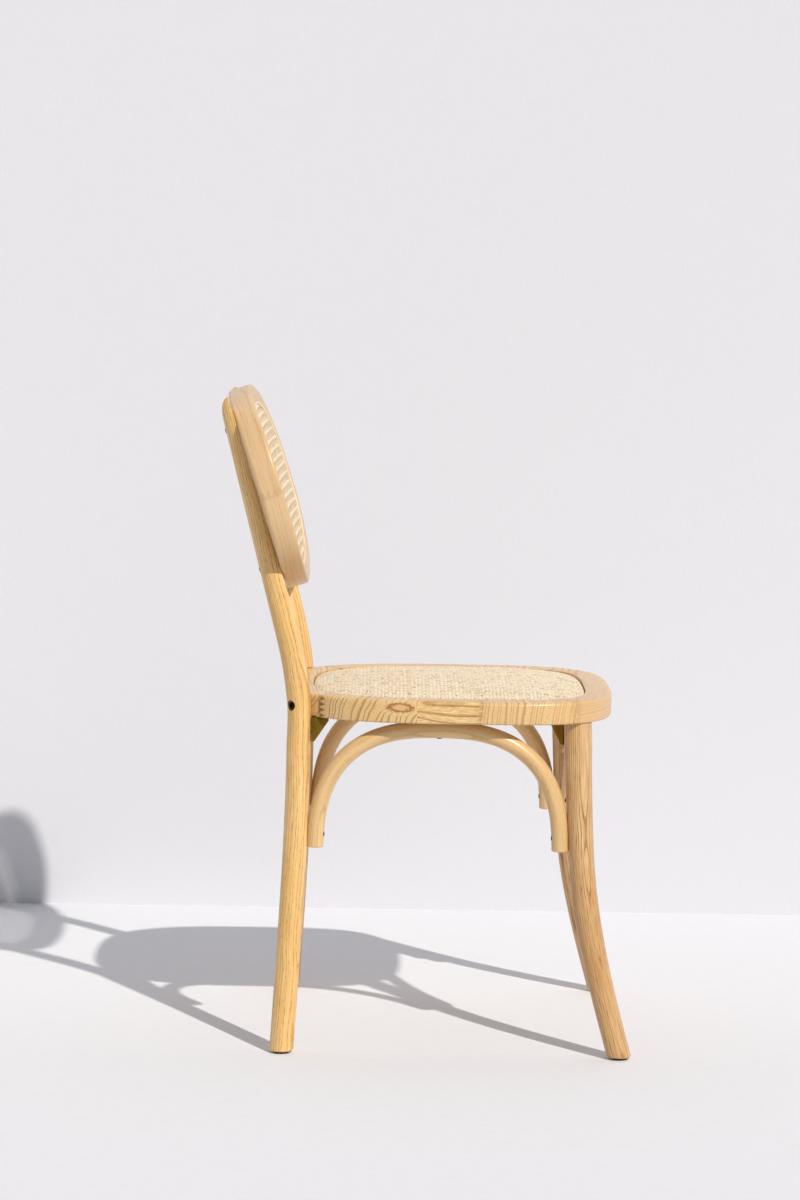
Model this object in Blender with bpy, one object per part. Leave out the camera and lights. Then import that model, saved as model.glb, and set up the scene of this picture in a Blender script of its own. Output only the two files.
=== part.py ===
"""Cane back dining chair, modelled piece by piece at its real size, in metres.

The sitter looks along -Y, +X is the sitter's left and +Z is up. While the pieces are drawn, Y is
counted from the widest line of the seat. At the end one empty carries the whole chair, so that the
origin lies on the floor under the middle of its outline.
"""
import math

import bmesh
import bpy
from mathutils import Vector
from mathutils.geometry import delaunay_2d_cdt

# Seat ring: a flat ring of jointed segments with a rebate for the seat panel
SEAT_HEIGHT = 0.457
SEAT_THICKNESS = 0.029
SEAT_WIDTH = 0.429
SEAT_FRONT_REACH = 0.1935
SEAT_REAR_REACH = 0.234
SEAT_FRONT_POWER = 3.4
SEAT_REAR_POWER = 3.0
SEAT_RAIL_WIDTH = 0.060
SEAT_RIM_WIDTH = 0.0345
SEAT_REBATE_DEPTH = 0.014
SEAT_TOP_ROUND = 0.005
SEAT_UNDER_ROUND = 0.003

# Seat panel: crowned board with the cane drawn over it
BOARD_THICKNESS = 0.010
CANE_THICKNESS = 0.0012
SEAT_CROWN = 0.0145
CROWN_POWER = 2.4
PANEL_EDGE_DROP = 0.003
PANEL_EDGE_ROUND = 0.002
PANEL_SLACK = 0.0009
PANEL_TOP_SHARES = (0.985, 0.92, 0.75, 0.45, 0.15)
BOARD_UNDER_SHARES = (0.15, 0.55)
BOARD_FLAT_SHARE = 0.80

# Finger joints
FINGER_LENGTH = 0.010
SEAT_FINGERS = 4
BACK_FINGERS = 4
SAW_KERF = 0.0006
SEAT_JOINT_SHARES = (0.795, -0.08, -0.72)
BACK_JOINT_SHARE = 0.015

# Rear legs: one bar each, from the floor to the top of the back
REAR_LEG_RADIUS = 0.0155
REAR_FOOT_SET_OUT = 0.0599
REAR_FOOT_SET_BACK = 0.0154
REAR_LEG_ANGLE = math.radians(55.7)
LEG_HOUSING_DEPTH = 0.004
BEND_BELOW = 0.054
BEND_ABOVE = 0.091
BEND_SET_BACK = 0.016
BEND_SET_IN = 0.002
POST_TOP_SET_IN = 0.0026
POST_TOP_RISE = 0.015
POST_TOP_ROUND = 0.030
POST_FLAT_DEPTH = 0.008
REAR_FOOT_RUN = -0.05
POST_RUN = 0.2576

# Front legs: straight under the seat, swept forward to the foot
FRONT_LEG_TOP_RADIUS = 0.018
FRONT_LEG_KNEE_RADIUS = 0.0165
FRONT_FOOT_RADIUS = 0.0152
FRONT_FOOT_SET_OUT = 0.059
FRONT_FOOT_SET_FORWARD = 0.060
FRONT_LEG_ANGLE = math.radians(-44.8)
FRONT_LEG_INSET = 0.001
FRONT_KNEE_SET_FORWARD = 0.007
FRONT_KNEE_SHARE = 0.60
FRONT_FOOT_RUN = 0.29
FRONT_KNEE_RUN = 0.06
FRONT_TOP_RUN = 0.02
TENON_RADIUS = 0.011
TENON_LENGTH = 0.017
FOOT_CHAMFER = 0.0015

# Bentwood arches between the legs
ARCH_RADIUS = 0.011
ARCH_DROP = 0.166
ARCH_POWER = 2.6
ARCH_BITE = 0.001
ARCH_SCREW_RISE = 0.017
SIDE_ARCH_FLARE_SHARE = 0.02
CROSS_ARCH_FLARE_SHARE = 0.145
FRONT_ARCH_APEX_SET_FORWARD = 0.008
REAR_ARCH_APEX_SET_FORWARD = 0.004

# Back ring: a leaning rounded frame, slightly dished from end to end
BACK_CLEARANCE = 0.1335
BACK_WIDTH = 0.430
BACK_LENGTH = 0.270
BACK_THICKNESS = 0.030
BACK_RIM_WIDTH = 0.036
BACK_POWER = 2.5
BACK_LEAN = math.radians(17.8)
BACK_DISH_RADIUS = 2.5
BACK_ROUND = 0.004
BACK_LAND_DEPTH = 0.0018
GROOVE_INSET = 0.0235
GROOVE_WIDTH = 0.005
GROOVE_DEPTH = 0.007
SPLINE_PROUD = 0.0008
BACK_CANE_PITCH = 0.0205
BACK_CANE_HOLE = 0.0145
BACK_CANE_MARGIN = 0.003

# Brackets, glides and fasteners
BRACKET_REACH = 0.022
BRACKET_DROP = 0.031
BRACKET_WIDTH = 0.016
BRACKET_SHEET = 0.002
BRACKET_SCREW_REACH_SHARE = 0.6
BRACKET_SCREW_DROP_SHARE = 0.62
GLIDE_RADIUS = 0.0095
GLIDE_HEIGHT = 0.003
GLIDE_CHAMFER = 0.0008
GLIDE_PIN_RADIUS = 0.0015
GLIDE_PIN_LENGTH = 0.010
SCREW_RADIUS = 0.00175
SCREW_HEAD_RADIUS = 0.00375
SCREW_HEAD_HEIGHT = 0.0022
SCREW_RECESS = 0.0015
SCREW_BITE = 0.011
BOLT_RADIUS = 0.003
BOLT_HEAD_RADIUS = 0.0055
BOLT_HEAD_HEIGHT = 0.005
BOLT_COUNTERBORE = 0.007
BOLT_BITE = 0.027
BOLT_ANGLE = math.radians(46)
HEAD_TOP_SHARE = 0.8
TIP_SHARE = 0.6

# Clearances
GAP = 0.0003
CUT_OVERRUN = 0.004

# How finely round forms are divided
SEAT_STATIONS = 60
BACK_STATIONS = 52
PANEL_STATIONS = 36
LEG_SIDES = 16
REAR_LEG_STEPS = 4
POST_STEPS = 3
POST_END_DEGREES = (30, 55, 75)
FRONT_LEG_STEPS = 10
POST_FLAT_STEPS = 12
ARCH_SIDES = 10
ARCH_STEPS = 22
SCREW_SIDES = 8
GLIDE_SIDES = 12
OUTLINE_SAMPLES = 720

# Colours as sRGB hex with roughness and metallic value
ASH = ("#dcb67e", 0.42, 0.0)
ASH_PALE = ("#e3c594", 0.42, 0.0)
PLYWOOD = ("#c9a878", 0.6, 0.0)
CANE = ("#ead9b4", 0.5, 0.0)
REED = ("#e2cc9e", 0.5, 0.0)
YELLOW_ZINC = ("#8d7a3a", 0.4, 1.0)
BLACK_STEEL = ("#1c1a19", 0.45, 1.0)
GLIDE_PLASTIC = ("#3a332c", 0.6, 0.0)

SIDES = (("right", -1), ("left", 1))
UP = Vector((0, 0, 1))
SEAT_UNDERSIDE = SEAT_HEIGHT - SEAT_THICKNESS
SEAT_MIDDLE = SEAT_HEIGHT - SEAT_THICKNESS / 2
FOOT_HEIGHT = GLIDE_HEIGHT + GAP
ARCH_END_HEIGHT = SEAT_UNDERSIDE - ARCH_DROP


def clear_scene():
    for thing in list(bpy.data.objects):
        bpy.data.objects.remove(thing)


def linear(hex_colour):
    channels = [int(hex_colour[i:i + 2], 16) / 255 for i in (1, 3, 5)]
    return [c / 12.92 if c <= 0.04045 else ((c + 0.055) / 1.055) ** 2.4 for c in channels]


def paint(piece, finish):
    """Give a piece its own plain material."""
    colour, roughness, metallic = finish
    material = bpy.data.materials.new(piece.name + "_finish")
    material.use_nodes = True
    shader = material.node_tree.nodes["Principled BSDF"]
    shader.inputs["Base Color"].default_value = (*linear(colour), 1)
    shader.inputs["Roughness"].default_value = roughness
    shader.inputs["Metallic"].default_value = metallic
    piece.data.materials.clear()
    piece.data.materials.append(material)


def add_mesh(name, bm, finish=None):
    """Turn a bmesh into an object of the chair, or into a hidden cutter when it has no finish."""
    bmesh.ops.recalc_face_normals(bm, faces=bm.faces)
    mesh = bpy.data.meshes.new(name)
    bm.to_mesh(mesh)
    bm.free()
    piece = bpy.data.objects.new(name, mesh)
    bpy.context.scene.collection.objects.link(piece)
    if finish:
        mesh.shade_smooth()
        mesh.set_sharp_from_angle(angle=math.radians(35))
        paint(piece, finish)
    else:
        piece.hide_render = True
        piece.display_type = "WIRE"
    return piece


def bridge(bm, first, second):
    count = len(first)
    for i in range(count):
        j = (i + 1) % count
        bm.faces.new((first[i], first[j], second[j], second[i]))


def loft(name, rings, finish=None, endless=False):
    """Skin rings of equal count; an open run is capped, an endless one closes on itself."""
    bm = bmesh.new()
    loops = [[bm.verts.new(point) for point in ring] for ring in rings]
    for first, second in zip(loops, loops[1:]):
        bridge(bm, first, second)
    if endless:
        bridge(bm, loops[-1], loops[0])
    else:
        bm.faces.new(loops[0])
        bm.faces.new(loops[-1])
    return add_mesh(name, bm, finish)


def prism(name, outline, start, end, finish=None):
    """A straight solid between two copies of an outline, moved by start and end."""
    rings = [[point + move for point in outline] for move in (start, end)]
    return loft(name, rings, finish)


def turned(name, origin, axis, profile, sides, finish=None):
    """A turned solid; the profile is (distance along the axis, radius) from end to end."""
    axis = axis.normalized()
    across = axis.orthogonal().normalized()
    other = axis.cross(across)
    turn = math.tau / sides
    rings = []
    for along, radius in profile:
        centre = origin + axis * along
        rings.append([centre + radius * (across * math.cos(i * turn) + other * math.sin(i * turn))
                      for i in range(sides)])
    return loft(name, rings, finish)


def carve(piece, cutter):
    cut = piece.modifiers.new("cut_" + cutter.name, "BOOLEAN")
    cut.operation = "DIFFERENCE"
    cut.solver = "EXACT"
    cut.object = cutter


def hermite(stations, height):
    """Smooth value at a height, through stations of (height, value, slope)."""
    height = min(max(height, stations[0][0]), stations[-1][0])
    for (z0, v0, m0), (z1, v1, m1) in zip(stations, stations[1:]):
        if height <= z1:
            break
    span = z1 - z0
    t = (height - z0) / span
    return ((2 * t ** 3 - 3 * t ** 2 + 1) * v0 + (t ** 3 - 2 * t ** 2 + t) * span * m0
            + (3 * t ** 2 - 2 * t ** 3) * v1 + (t ** 3 - t ** 2) * span * m1)


def even_loop(curve, count):
    """Points spaced evenly along a closed curve that is given as a function of an angle."""
    dense = [curve(i * math.tau / OUTLINE_SAMPLES) for i in range(OUTLINE_SAMPLES + 1)]
    lengths = [0]
    for first, second in zip(dense, dense[1:]):
        lengths.append(lengths[-1] + (second - first).length)
    points = []
    at = 0
    for i in range(count):
        target = lengths[-1] * i / count
        while lengths[at + 1] < target:
            at += 1
        share = (target - lengths[at]) / (lengths[at + 1] - lengths[at])
        points.append(dense[at].lerp(dense[at + 1], share))
    return points


def signed_power(value, power):
    return math.copysign(abs(value) ** power, value)


class Outline:
    """Rounded outline whose front and rear halves may have their own reach and squareness."""

    def __init__(self, half_width, front, rear, front_power, rear_power):
        self.half_width = half_width
        self.halves = {-1: (front, front_power), 1: (rear, rear_power)}

    def half(self, value):
        return self.halves[-1 if value < 0 else 1]

    def point(self, angle):
        reach, power = self.half(math.sin(angle))
        return Vector((self.half_width * signed_power(math.cos(angle), 2 / power),
                       reach * signed_power(math.sin(angle), 2 / power)))

    def normal(self, point):
        reach, power = self.half(point.y)
        return Vector((signed_power(point.x / self.half_width, power - 1) / self.half_width,
                       signed_power(point.y / reach, power - 1) / reach)).normalized()

    def loop(self, count, inset=0):
        """Evenly spaced points, moved inward by the inset."""
        points = even_loop(self.point, count)
        return [point - self.normal(point) * inset for point in points]

    def side_point(self, reach_share):
        """Point on the +X side at a share of the reach to the front (negative) or rear."""
        reach, power = self.half(reach_share)
        return Vector((self.half_width * (1 - abs(reach_share) ** power) ** (1 / power),
                       reach * reach_share))


SEAT = Outline(SEAT_WIDTH / 2, SEAT_FRONT_REACH, SEAT_REAR_REACH, SEAT_FRONT_POWER, SEAT_REAR_POWER)
BACK = Outline(BACK_WIDTH / 2, BACK_LENGTH / 2, BACK_LENGTH / 2, BACK_POWER, BACK_POWER)


def mirrored(point, side):
    return Vector((point.x * side, *point[1:]))


# Where the legs meet the seat, read off the seat's outline
def rear_contact():
    point = SEAT.point(REAR_LEG_ANGLE)
    return point, SEAT.normal(point)


def front_contact():
    point = SEAT.point(FRONT_LEG_ANGLE)
    return point, SEAT.normal(point)


def rear_leg_centre():
    """Centre of the rear leg at the seat's middle height."""
    contact, normal = rear_contact()
    return contact + normal * (REAR_LEG_RADIUS - LEG_HOUSING_DEPTH)


def post_top_x():
    return rear_leg_centre().x - POST_TOP_SET_IN


def back_centre_height():
    return SEAT_HEIGHT + BACK_CLEARANCE + BACK_LENGTH / 2 * math.cos(BACK_LEAN)


def ring_edge_at_post():
    """Half of the back ring's length where a post crosses it."""
    share = post_top_x() / BACK.half_width
    return BACK_LENGTH / 2 * (1 - share ** BACK_POWER) ** (1 / BACK_POWER)


def post_height():
    """The post's rounded end rises past the edge of the ring in front of it."""
    return back_centre_height() + ring_edge_at_post() * math.cos(BACK_LEAN) + POST_TOP_RISE


def rear_leg_lines():
    """Stations of the rear leg's centre line for x and for y."""
    centre = rear_leg_centre()
    low = SEAT_MIDDLE - BEND_BELOW
    high = SEAT_MIDDLE + BEND_ABOVE
    top = post_height()
    splay = -REAR_FOOT_SET_OUT / SEAT_MIDDLE
    line_x = ((0, centre.x + REAR_FOOT_SET_OUT, splay),
              (low, centre.x - splay * BEND_BELOW, splay),
              (SEAT_MIDDLE, centre.x, splay / 2),
              (high, centre.x - BEND_SET_IN, 0),
              (top, post_top_x(), 0))
    line_y = ((0, centre.y + REAR_FOOT_SET_BACK, REAR_FOOT_RUN),
              (low, centre.y, 0),
              (SEAT_MIDDLE, centre.y, POST_RUN / 3),
              (high, centre.y + BEND_SET_BACK, POST_RUN),
              (top, centre.y + BEND_SET_BACK + POST_RUN * (top - high), POST_RUN))
    return line_x, line_y


def front_leg_lines():
    """Stations of the front leg's centre line for x and for y."""
    contact, normal = front_contact()
    centre = contact - normal * (FRONT_LEG_TOP_RADIUS + FRONT_LEG_INSET)
    knee = SEAT_UNDERSIDE * FRONT_KNEE_SHARE
    splay = -FRONT_FOOT_SET_OUT / SEAT_UNDERSIDE
    line_x = ((0, centre.x + FRONT_FOOT_SET_OUT, splay), (SEAT_UNDERSIDE, centre.x, splay))
    line_y = ((0, centre.y - FRONT_FOOT_SET_FORWARD, FRONT_FOOT_RUN),
              (knee, centre.y - FRONT_KNEE_SET_FORWARD, FRONT_KNEE_RUN),
              (SEAT_UNDERSIDE, centre.y, FRONT_TOP_RUN))
    return line_x, line_y


def leg_point(lines, height, side):
    return Vector((side * hermite(lines[0], height), hermite(lines[1], height), height))


def leg_direction(lines, height, side):
    step = SEAT_THICKNESS / 2
    top = leg_point(lines, height, side)
    return (top - leg_point(lines, height - step, side)).normalized()


def front_leg_radius(height):
    stations = ((0, FRONT_FOOT_RADIUS, 0),
                (SEAT_UNDERSIDE * FRONT_KNEE_SHARE, FRONT_LEG_KNEE_RADIUS, 0),
                (SEAT_UNDERSIDE, FRONT_LEG_TOP_RADIUS, 0))
    return hermite(stations, height)


def leg_ring(lines, height, radius, side):
    """Level section of a leaning round bar, stretched so that the bar itself stays round."""
    centre = leg_point(lines, height, side)
    along = leg_direction(lines, max(height, SEAT_THICKNESS), side)
    wide_x = radius * math.hypot(1, along.x / along.z)
    wide_y = radius * math.hypot(1, along.y / along.z)
    turn = math.tau / LEG_SIDES
    return [centre + Vector((wide_x * math.cos(i * turn), wide_y * math.sin(i * turn), 0))
            for i in range(LEG_SIDES)]


def span_heights(low, high, steps):
    return [low + (high - low) * i / steps for i in range(steps + 1)]


def rear_leg_rings(side, grow):
    """Rings of a rear leg; a grown copy is the cutter for what is fitted to the leg."""
    lines = rear_leg_lines()
    radius = REAR_LEG_RADIUS + grow
    shoulder = post_height() - POST_TOP_ROUND
    rings = [leg_ring(lines, FOOT_HEIGHT, radius - FOOT_CHAMFER, side)]
    bend_top = SEAT_MIDDLE + BEND_ABOVE
    heights = span_heights(FOOT_HEIGHT + FOOT_CHAMFER, SEAT_UNDERSIDE - BEND_BELOW / 2, REAR_LEG_STEPS)
    heights += span_heights(SEAT_UNDERSIDE, bend_top, REAR_LEG_STEPS)
    heights += span_heights(bend_top, shoulder, POST_STEPS)[1:]
    rings += [leg_ring(lines, height, radius, side) for height in heights]
    for degrees in POST_END_DEGREES:
        angle = math.radians(degrees)
        height = shoulder + POST_TOP_ROUND * math.sin(angle)
        rings.append(leg_ring(lines, height, radius * math.cos(angle), side))
    return rings


def front_leg_rings(side, grow):
    lines = front_leg_lines()
    rings = [leg_ring(lines, FOOT_HEIGHT, FRONT_FOOT_RADIUS - FOOT_CHAMFER + grow, side)]
    for height in span_heights(FOOT_HEIGHT + FOOT_CHAMFER, SEAT_UNDERSIDE - GAP, FRONT_LEG_STEPS):
        rings.append(leg_ring(lines, height, front_leg_radius(height) + grow, side))
    return rings


def tenon_centre(side):
    return leg_point(front_leg_lines(), SEAT_UNDERSIDE, side)


def make_legs():
    legs = {}
    for word, side in SIDES:
        legs["rear", side] = loft("rear_leg_" + word, rear_leg_rings(side, 0), ASH)
        rings = front_leg_rings(side, 0)
        centre = tenon_centre(side)
        turn = math.tau / LEG_SIDES
        for height, radius in ((SEAT_UNDERSIDE - GAP, TENON_RADIUS),
                               (SEAT_UNDERSIDE + TENON_LENGTH, TENON_RADIUS)):
            rings.append([Vector((centre.x + radius * math.cos(i * turn),
                                  centre.y + radius * math.sin(i * turn), height))
                          for i in range(LEG_SIDES)])
        legs["front", side] = loft("front_leg_" + word, rings, ASH)
    return legs


def leg_cutters():
    """Copies of the legs, fatter by the gap, that cope the arch ends."""
    cutters = {}
    for word, side in SIDES:
        cutters["rear", side] = loft("fit_rear_leg_" + word, rear_leg_rings(side, GAP))
        cutters["front", side] = loft("fit_front_leg_" + word, front_leg_rings(side, GAP))
    return cutters


# Seat
def seat_profile():
    """Section of the seat ring as (inset from the edge, height)."""
    low, high = SEAT_UNDERSIDE, SEAT_HEIGHT
    ledge = high - SEAT_REBATE_DEPTH
    top, under = SEAT_TOP_ROUND, SEAT_UNDER_ROUND
    ease = 1 - math.sqrt(0.5)
    return ((0, low + under), (0, high - top), (top * ease, high - top * ease), (top, high),
            (SEAT_RIM_WIDTH, high), (SEAT_RIM_WIDTH, ledge), (SEAT_RAIL_WIDTH, ledge),
            (SEAT_RAIL_WIDTH, low), (under, low), (under * ease, low + under * ease))


def make_seat_ring():
    rings = []
    for edge in even_loop(SEAT.point, SEAT_STATIONS):
        inward = -SEAT.normal(edge)
        rings.append([Vector((*(edge + inward * inset), height)) for inset, height in seat_profile()])
    return loft("seat_ring", rings, ASH, endless=True)


def zigzag(low, high, fingers):
    """Corners of a finger joint as (across the joint, along the stack of fingers)."""
    pitch = (high - low) / fingers
    corners = []
    for i in range(2 * fingers + 1):
        across = FINGER_LENGTH / 2 * (1 if i % 2 else -1)
        corners.append((across, low + pitch * i / 2))
    first, last = corners[0], corners[-1]
    return [(first[0], low - CUT_OVERRUN), *corners, (last[0], high + CUT_OVERRUN)]


def saw_cut(name, corner_line, place):
    """Thin zigzag plate that parts two finger jointed pieces; place maps a corner to space."""
    half = SAW_KERF / 2
    outline = [(across + half, along) for across, along in corner_line]
    outline += [(across - half, along) for across, along in reversed(corner_line)]
    rings = [[place(across, along, end) for across, along in outline] for end in (0, 1)]
    return loft(name, rings)


def seat_saw_cuts():
    cuts = []
    line = zigzag(SEAT_UNDERSIDE, SEAT_HEIGHT, SEAT_FINGERS)
    for word, side in SIDES:
        for number, share in enumerate(SEAT_JOINT_SHARES):
            edge = SEAT.side_point(share)
            inward = -SEAT.normal(edge)
            along = Vector((-inward.y, inward.x))

            def place(across, height, end):
                depth = -CUT_OVERRUN if end == 0 else SEAT_RAIL_WIDTH + CUT_OVERRUN
                flat = edge + inward * depth + along * across
                return Vector((side * flat.x, flat.y, height))
            cuts.append(saw_cut(f"cut_seat_{word}_{number}", line, place))
    return cuts


def baked(piece):
    """Replace a piece's mesh by what its modifiers make of it."""
    graph = bpy.context.evaluated_depsgraph_get()
    mesh = bpy.data.meshes.new_from_object(piece.evaluated_get(graph))
    piece.modifiers.clear()
    piece.data = mesh
    return piece


def islands(bm):
    """Groups of faces that hang together."""
    left = set(bm.faces)
    while left:
        group = {left.pop()}
        border = list(group)
        while border:
            face = border.pop()
            for edge in face.edges:
                for other in edge.link_faces:
                    if other in left:
                        left.remove(other)
                        group.add(other)
                        border.append(other)
        yield group


def split(piece, name_of, finish):
    """Part a sawn piece into its bodies, each named from the middle of its box."""
    bm = bmesh.new()
    bm.from_mesh(piece.data)
    parts = {}
    for group in islands(bm):
        corners = [vert.co for face in group for vert in face.verts]
        low = Vector(min(c[i] for c in corners) for i in range(3))
        high = Vector(max(c[i] for c in corners) for i in range(3))
        single = bmesh.new()
        copies = {}
        for face in group:
            for vert in face.verts:
                if vert not in copies:
                    copies[vert] = single.verts.new(vert.co)
            single.faces.new([copies[vert] for vert in face.verts])
        name = name_of((low + high) / 2)
        parts[name] = add_mesh(name, single, finish)
    bm.free()
    bpy.data.objects.remove(piece)
    return parts


def seat_rail_name(middle):
    word = "right" if middle.x < 0 else "left"
    if abs(middle.x) < SEAT_RAIL_WIDTH:
        return "seat_rail_rear" if middle.y > 0 else "seat_rail_front"
    front_joint = SEAT_FRONT_REACH * SEAT_JOINT_SHARES[1]
    return ("seat_rail_" if middle.y > front_joint else "seat_corner_") + word


def crown(share):
    """Height of the panel's crown at a share of the way from the middle to the edge."""
    return SEAT_CROWN * (1 - share ** CROWN_POWER)


def panel_rings(inset, surface, shares):
    """Rings of a domed sheet; surface gives the height at a share of the way out."""
    edge = SEAT.loop(PANEL_STATIONS, inset)
    return [[Vector((point.x * share, point.y * share, surface(share))) for point in edge]
            for share in shares]


def panel_top(share, lift=0):
    """Height of the board's top, or of a skin lifted off it, at a share of the way out."""
    return SEAT_HEIGHT - PANEL_EDGE_DROP + crown(share) + lift


def board_under(share):
    ledge = SEAT_HEIGHT - SEAT_REBATE_DEPTH + GAP
    return max(ledge, panel_top(share) - BOARD_THICKNESS) if share < BOARD_FLAT_SHARE else ledge


def domed_rings(inset, lift, skirt):
    """Rings from the foot of a domed sheet's edge, over its rounded shoulder, towards its middle."""
    return (panel_rings(inset, lambda share: skirt, (1,))
            + panel_rings(inset, lambda share: panel_top(share, lift) - PANEL_EDGE_ROUND, (1,))
            + panel_rings(inset, lambda share: panel_top(share, lift), PANEL_TOP_SHARES))


def make_seat_panel():
    """Crowned board on the ledge of the ring, and the cane sheet drawn over its edge."""
    skin = CANE_THICKNESS + GAP
    outer_inset = SEAT_RIM_WIDTH + PANEL_SLACK
    board_inset = outer_inset + skin
    rings = panel_rings(board_inset, board_under, (*BOARD_UNDER_SHARES, BOARD_FLAT_SHARE))
    rings += domed_rings(board_inset, 0, board_under(1))
    loft("seat_board", rings, PLYWOOD)

    skirt = board_under(1) + GAP
    inner = domed_rings(board_inset - GAP, GAP, skirt)
    outer = domed_rings(outer_inset, skin, skirt)
    bm = bmesh.new()
    ends = []
    for rings in (inner, outer):
        loops = [[bm.verts.new(point) for point in ring] for ring in rings]
        for first, second in zip(loops, loops[1:]):
            bridge(bm, first, second)
        bm.faces.new(loops[-1])
        ends.append(loops[0])
    bridge(bm, *ends)
    add_mesh("seat_cane", bm, CANE)


# Arches
def arch_path(first, second, flare_share, apex_shift):
    """Centre line of an arch that passes two points beside its end screws, under the seat."""
    rise = SEAT_UNDERSIDE - GAP - ARCH_RADIUS - ARCH_END_HEIGHT
    middle = (first + second) / 2
    half = (second - first) / 2 / (1 - flare_share * ARCH_SCREW_RISE / rise)
    path = []
    for i in range(ARCH_STEPS + 1):
        angle = math.pi * i / ARCH_STEPS
        up = abs(math.sin(angle)) ** (2 / ARCH_POWER)
        out = signed_power(-math.cos(angle), 2 / ARCH_POWER) * (1 - flare_share * up)
        path.append(middle + half * out + apex_shift * up + UP * rise * up)
    return path


def bar(name, path, radius, sides, across, finish=None):
    """Round bar along a path; across is a direction that no part of the path runs along."""
    turn = math.tau / sides
    rings = []
    for i, point in enumerate(path):
        before, after = path[max(i - 1, 0)], path[min(i + 1, len(path) - 1)]
        along = (after - before).normalized()
        if i in (0, len(path) - 1):
            along = UP if i == 0 else -UP
        other = along.cross(across).normalized()
        flat = other.cross(along)
        rings.append([point + radius * (other * math.cos(k * turn) + flat * math.sin(k * turn))
                      for k in range(sides)])
    return loft(name, rings, finish)


def arch_ends():
    """End points of the four arches, where their bars touch the legs beside the end screws."""
    screw = ARCH_END_HEIGHT + ARCH_SCREW_RISE
    rear, front = rear_leg_lines(), front_leg_lines()
    rear_reach = REAR_LEG_RADIUS + ARCH_RADIUS - ARCH_BITE
    front_reach = front_leg_radius(screw) + ARCH_RADIUS - ARCH_BITE
    ends = {}
    for _, side in SIDES:
        back = leg_point(rear, screw, side)
        fore = leg_point(front, screw, side)
        ends["side", side] = (back - Vector((0, rear_reach, 0)), fore + Vector((0, front_reach, 0)))
        ends["rear", side] = back - Vector((side * rear_reach, 0, 0))
        ends["front", side] = fore - Vector((side * front_reach, 0, 0))
    return ends


def lowered(point):
    return Vector((point.x, point.y, ARCH_END_HEIGHT))


def make_arches(cutters):
    """Four bent bars; their ends are coped to the legs. Returns the arches and their screws."""
    ends = arch_ends()
    arches, screws = {}, []
    for word, side in SIDES:
        first, second = ends["side", side]
        path = arch_path(lowered(first), lowered(second), SIDE_ARCH_FLARE_SHARE, Vector())
        arch = bar("arch_" + word, path, ARCH_RADIUS, ARCH_SIDES, Vector((1, 0, 0)), ASH_PALE)
        arches[word] = (arch, path, (("rear", side), ("front", side)), (first, second))
    for word, shift in (("rear", REAR_ARCH_APEX_SET_FORWARD), ("front", FRONT_ARCH_APEX_SET_FORWARD)):
        first, second = ends[word, -1], ends[word, 1]
        path = arch_path(lowered(first), lowered(second), CROSS_ARCH_FLARE_SHARE,
                         Vector((0, -shift, 0)))
        arch = bar("arch_" + word, path, ARCH_RADIUS, ARCH_SIDES, Vector((0, 1, 0)), ASH_PALE)
        arches[word] = (arch, path, ((word, -1), (word, 1)), (first, second))
    for word, (arch, path, legs, points) in arches.items():
        for leg, point, other in zip(legs, points, reversed(points)):
            carve(arch, cutters[leg])
            outward = (point - other).normalized()
            screws.append((word, arch, leg, point, outward))
    return arches, screws


# Back
def back_normal():
    """Direction square to the back, from its front face to its rear face."""
    return Vector((0, math.cos(BACK_LEAN), -math.sin(BACK_LEAN)))


def dish(across):
    return across ** 2 / (2 * BACK_DISH_RADIUS)


def back_centre():
    """Middle of the ring's front face, set so that the ring's rear face meets the posts' flats."""
    height = back_centre_height()
    flat = leg_point(rear_leg_lines(), height, 1).y - REAR_LEG_RADIUS + POST_FLAT_DEPTH
    ahead = math.cos(BACK_LEAN) * (BACK_THICKNESS - dish(post_top_x()))
    return Vector((0, flat - ahead, height))


BACK_CENTRE = back_centre()


def back_point(across, along, depth):
    """Space point of the back's own measures: across, up its slope, and behind its front face."""
    up_slope = Vector((0, math.sin(BACK_LEAN), math.cos(BACK_LEAN)))
    middle = BACK_CENTRE + Vector((across, 0, 0))
    return middle + up_slope * along + back_normal() * (depth - dish(across))


def back_profile():
    """Section of the back ring as (inset from the edge, depth behind the front face)."""
    wide, deep, ease = BACK_RIM_WIDTH, BACK_THICKNESS, BACK_ROUND * (1 - math.sqrt(0.5))
    groove = GROOVE_INSET + GROOVE_WIDTH
    return ((0, BACK_ROUND), (0, deep - BACK_ROUND), (ease, deep - ease), (BACK_ROUND, deep),
            (wide - BACK_ROUND, deep), (wide - ease, deep - ease), (wide, deep - BACK_ROUND),
            (wide, BACK_LAND_DEPTH), (groove, BACK_LAND_DEPTH), (groove, GROOVE_DEPTH),
            (GROOVE_INSET, GROOVE_DEPTH), (GROOVE_INSET, 0), (BACK_ROUND, 0), (ease, ease))


def back_sweep(name, profile, stations, finish=None):
    rings = []
    for edge in even_loop(BACK.point, stations):
        inward = -BACK.normal(edge)
        ring = []
        for inset, depth in profile:
            spot = edge + inward * inset
            ring.append(back_point(spot.x, spot.y, depth))
        rings.append(ring)
    return loft(name, rings, finish, endless=True)


def back_saw_cuts():
    cuts = []
    line = zigzag(0, BACK_THICKNESS, BACK_FINGERS)
    height = BACK_LENGTH / 2 * BACK_JOINT_SHARE
    for word, side in SIDES:
        def place(across, depth, end):
            out = BACK.half_width + CUT_OVERRUN
            inner = BACK.half_width - BACK_RIM_WIDTH - 2 * CUT_OVERRUN
            return back_point(side * (out if end else inner), height + across, depth)
        cuts.append(saw_cut("cut_back_" + word, line, place))
    return cuts


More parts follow.
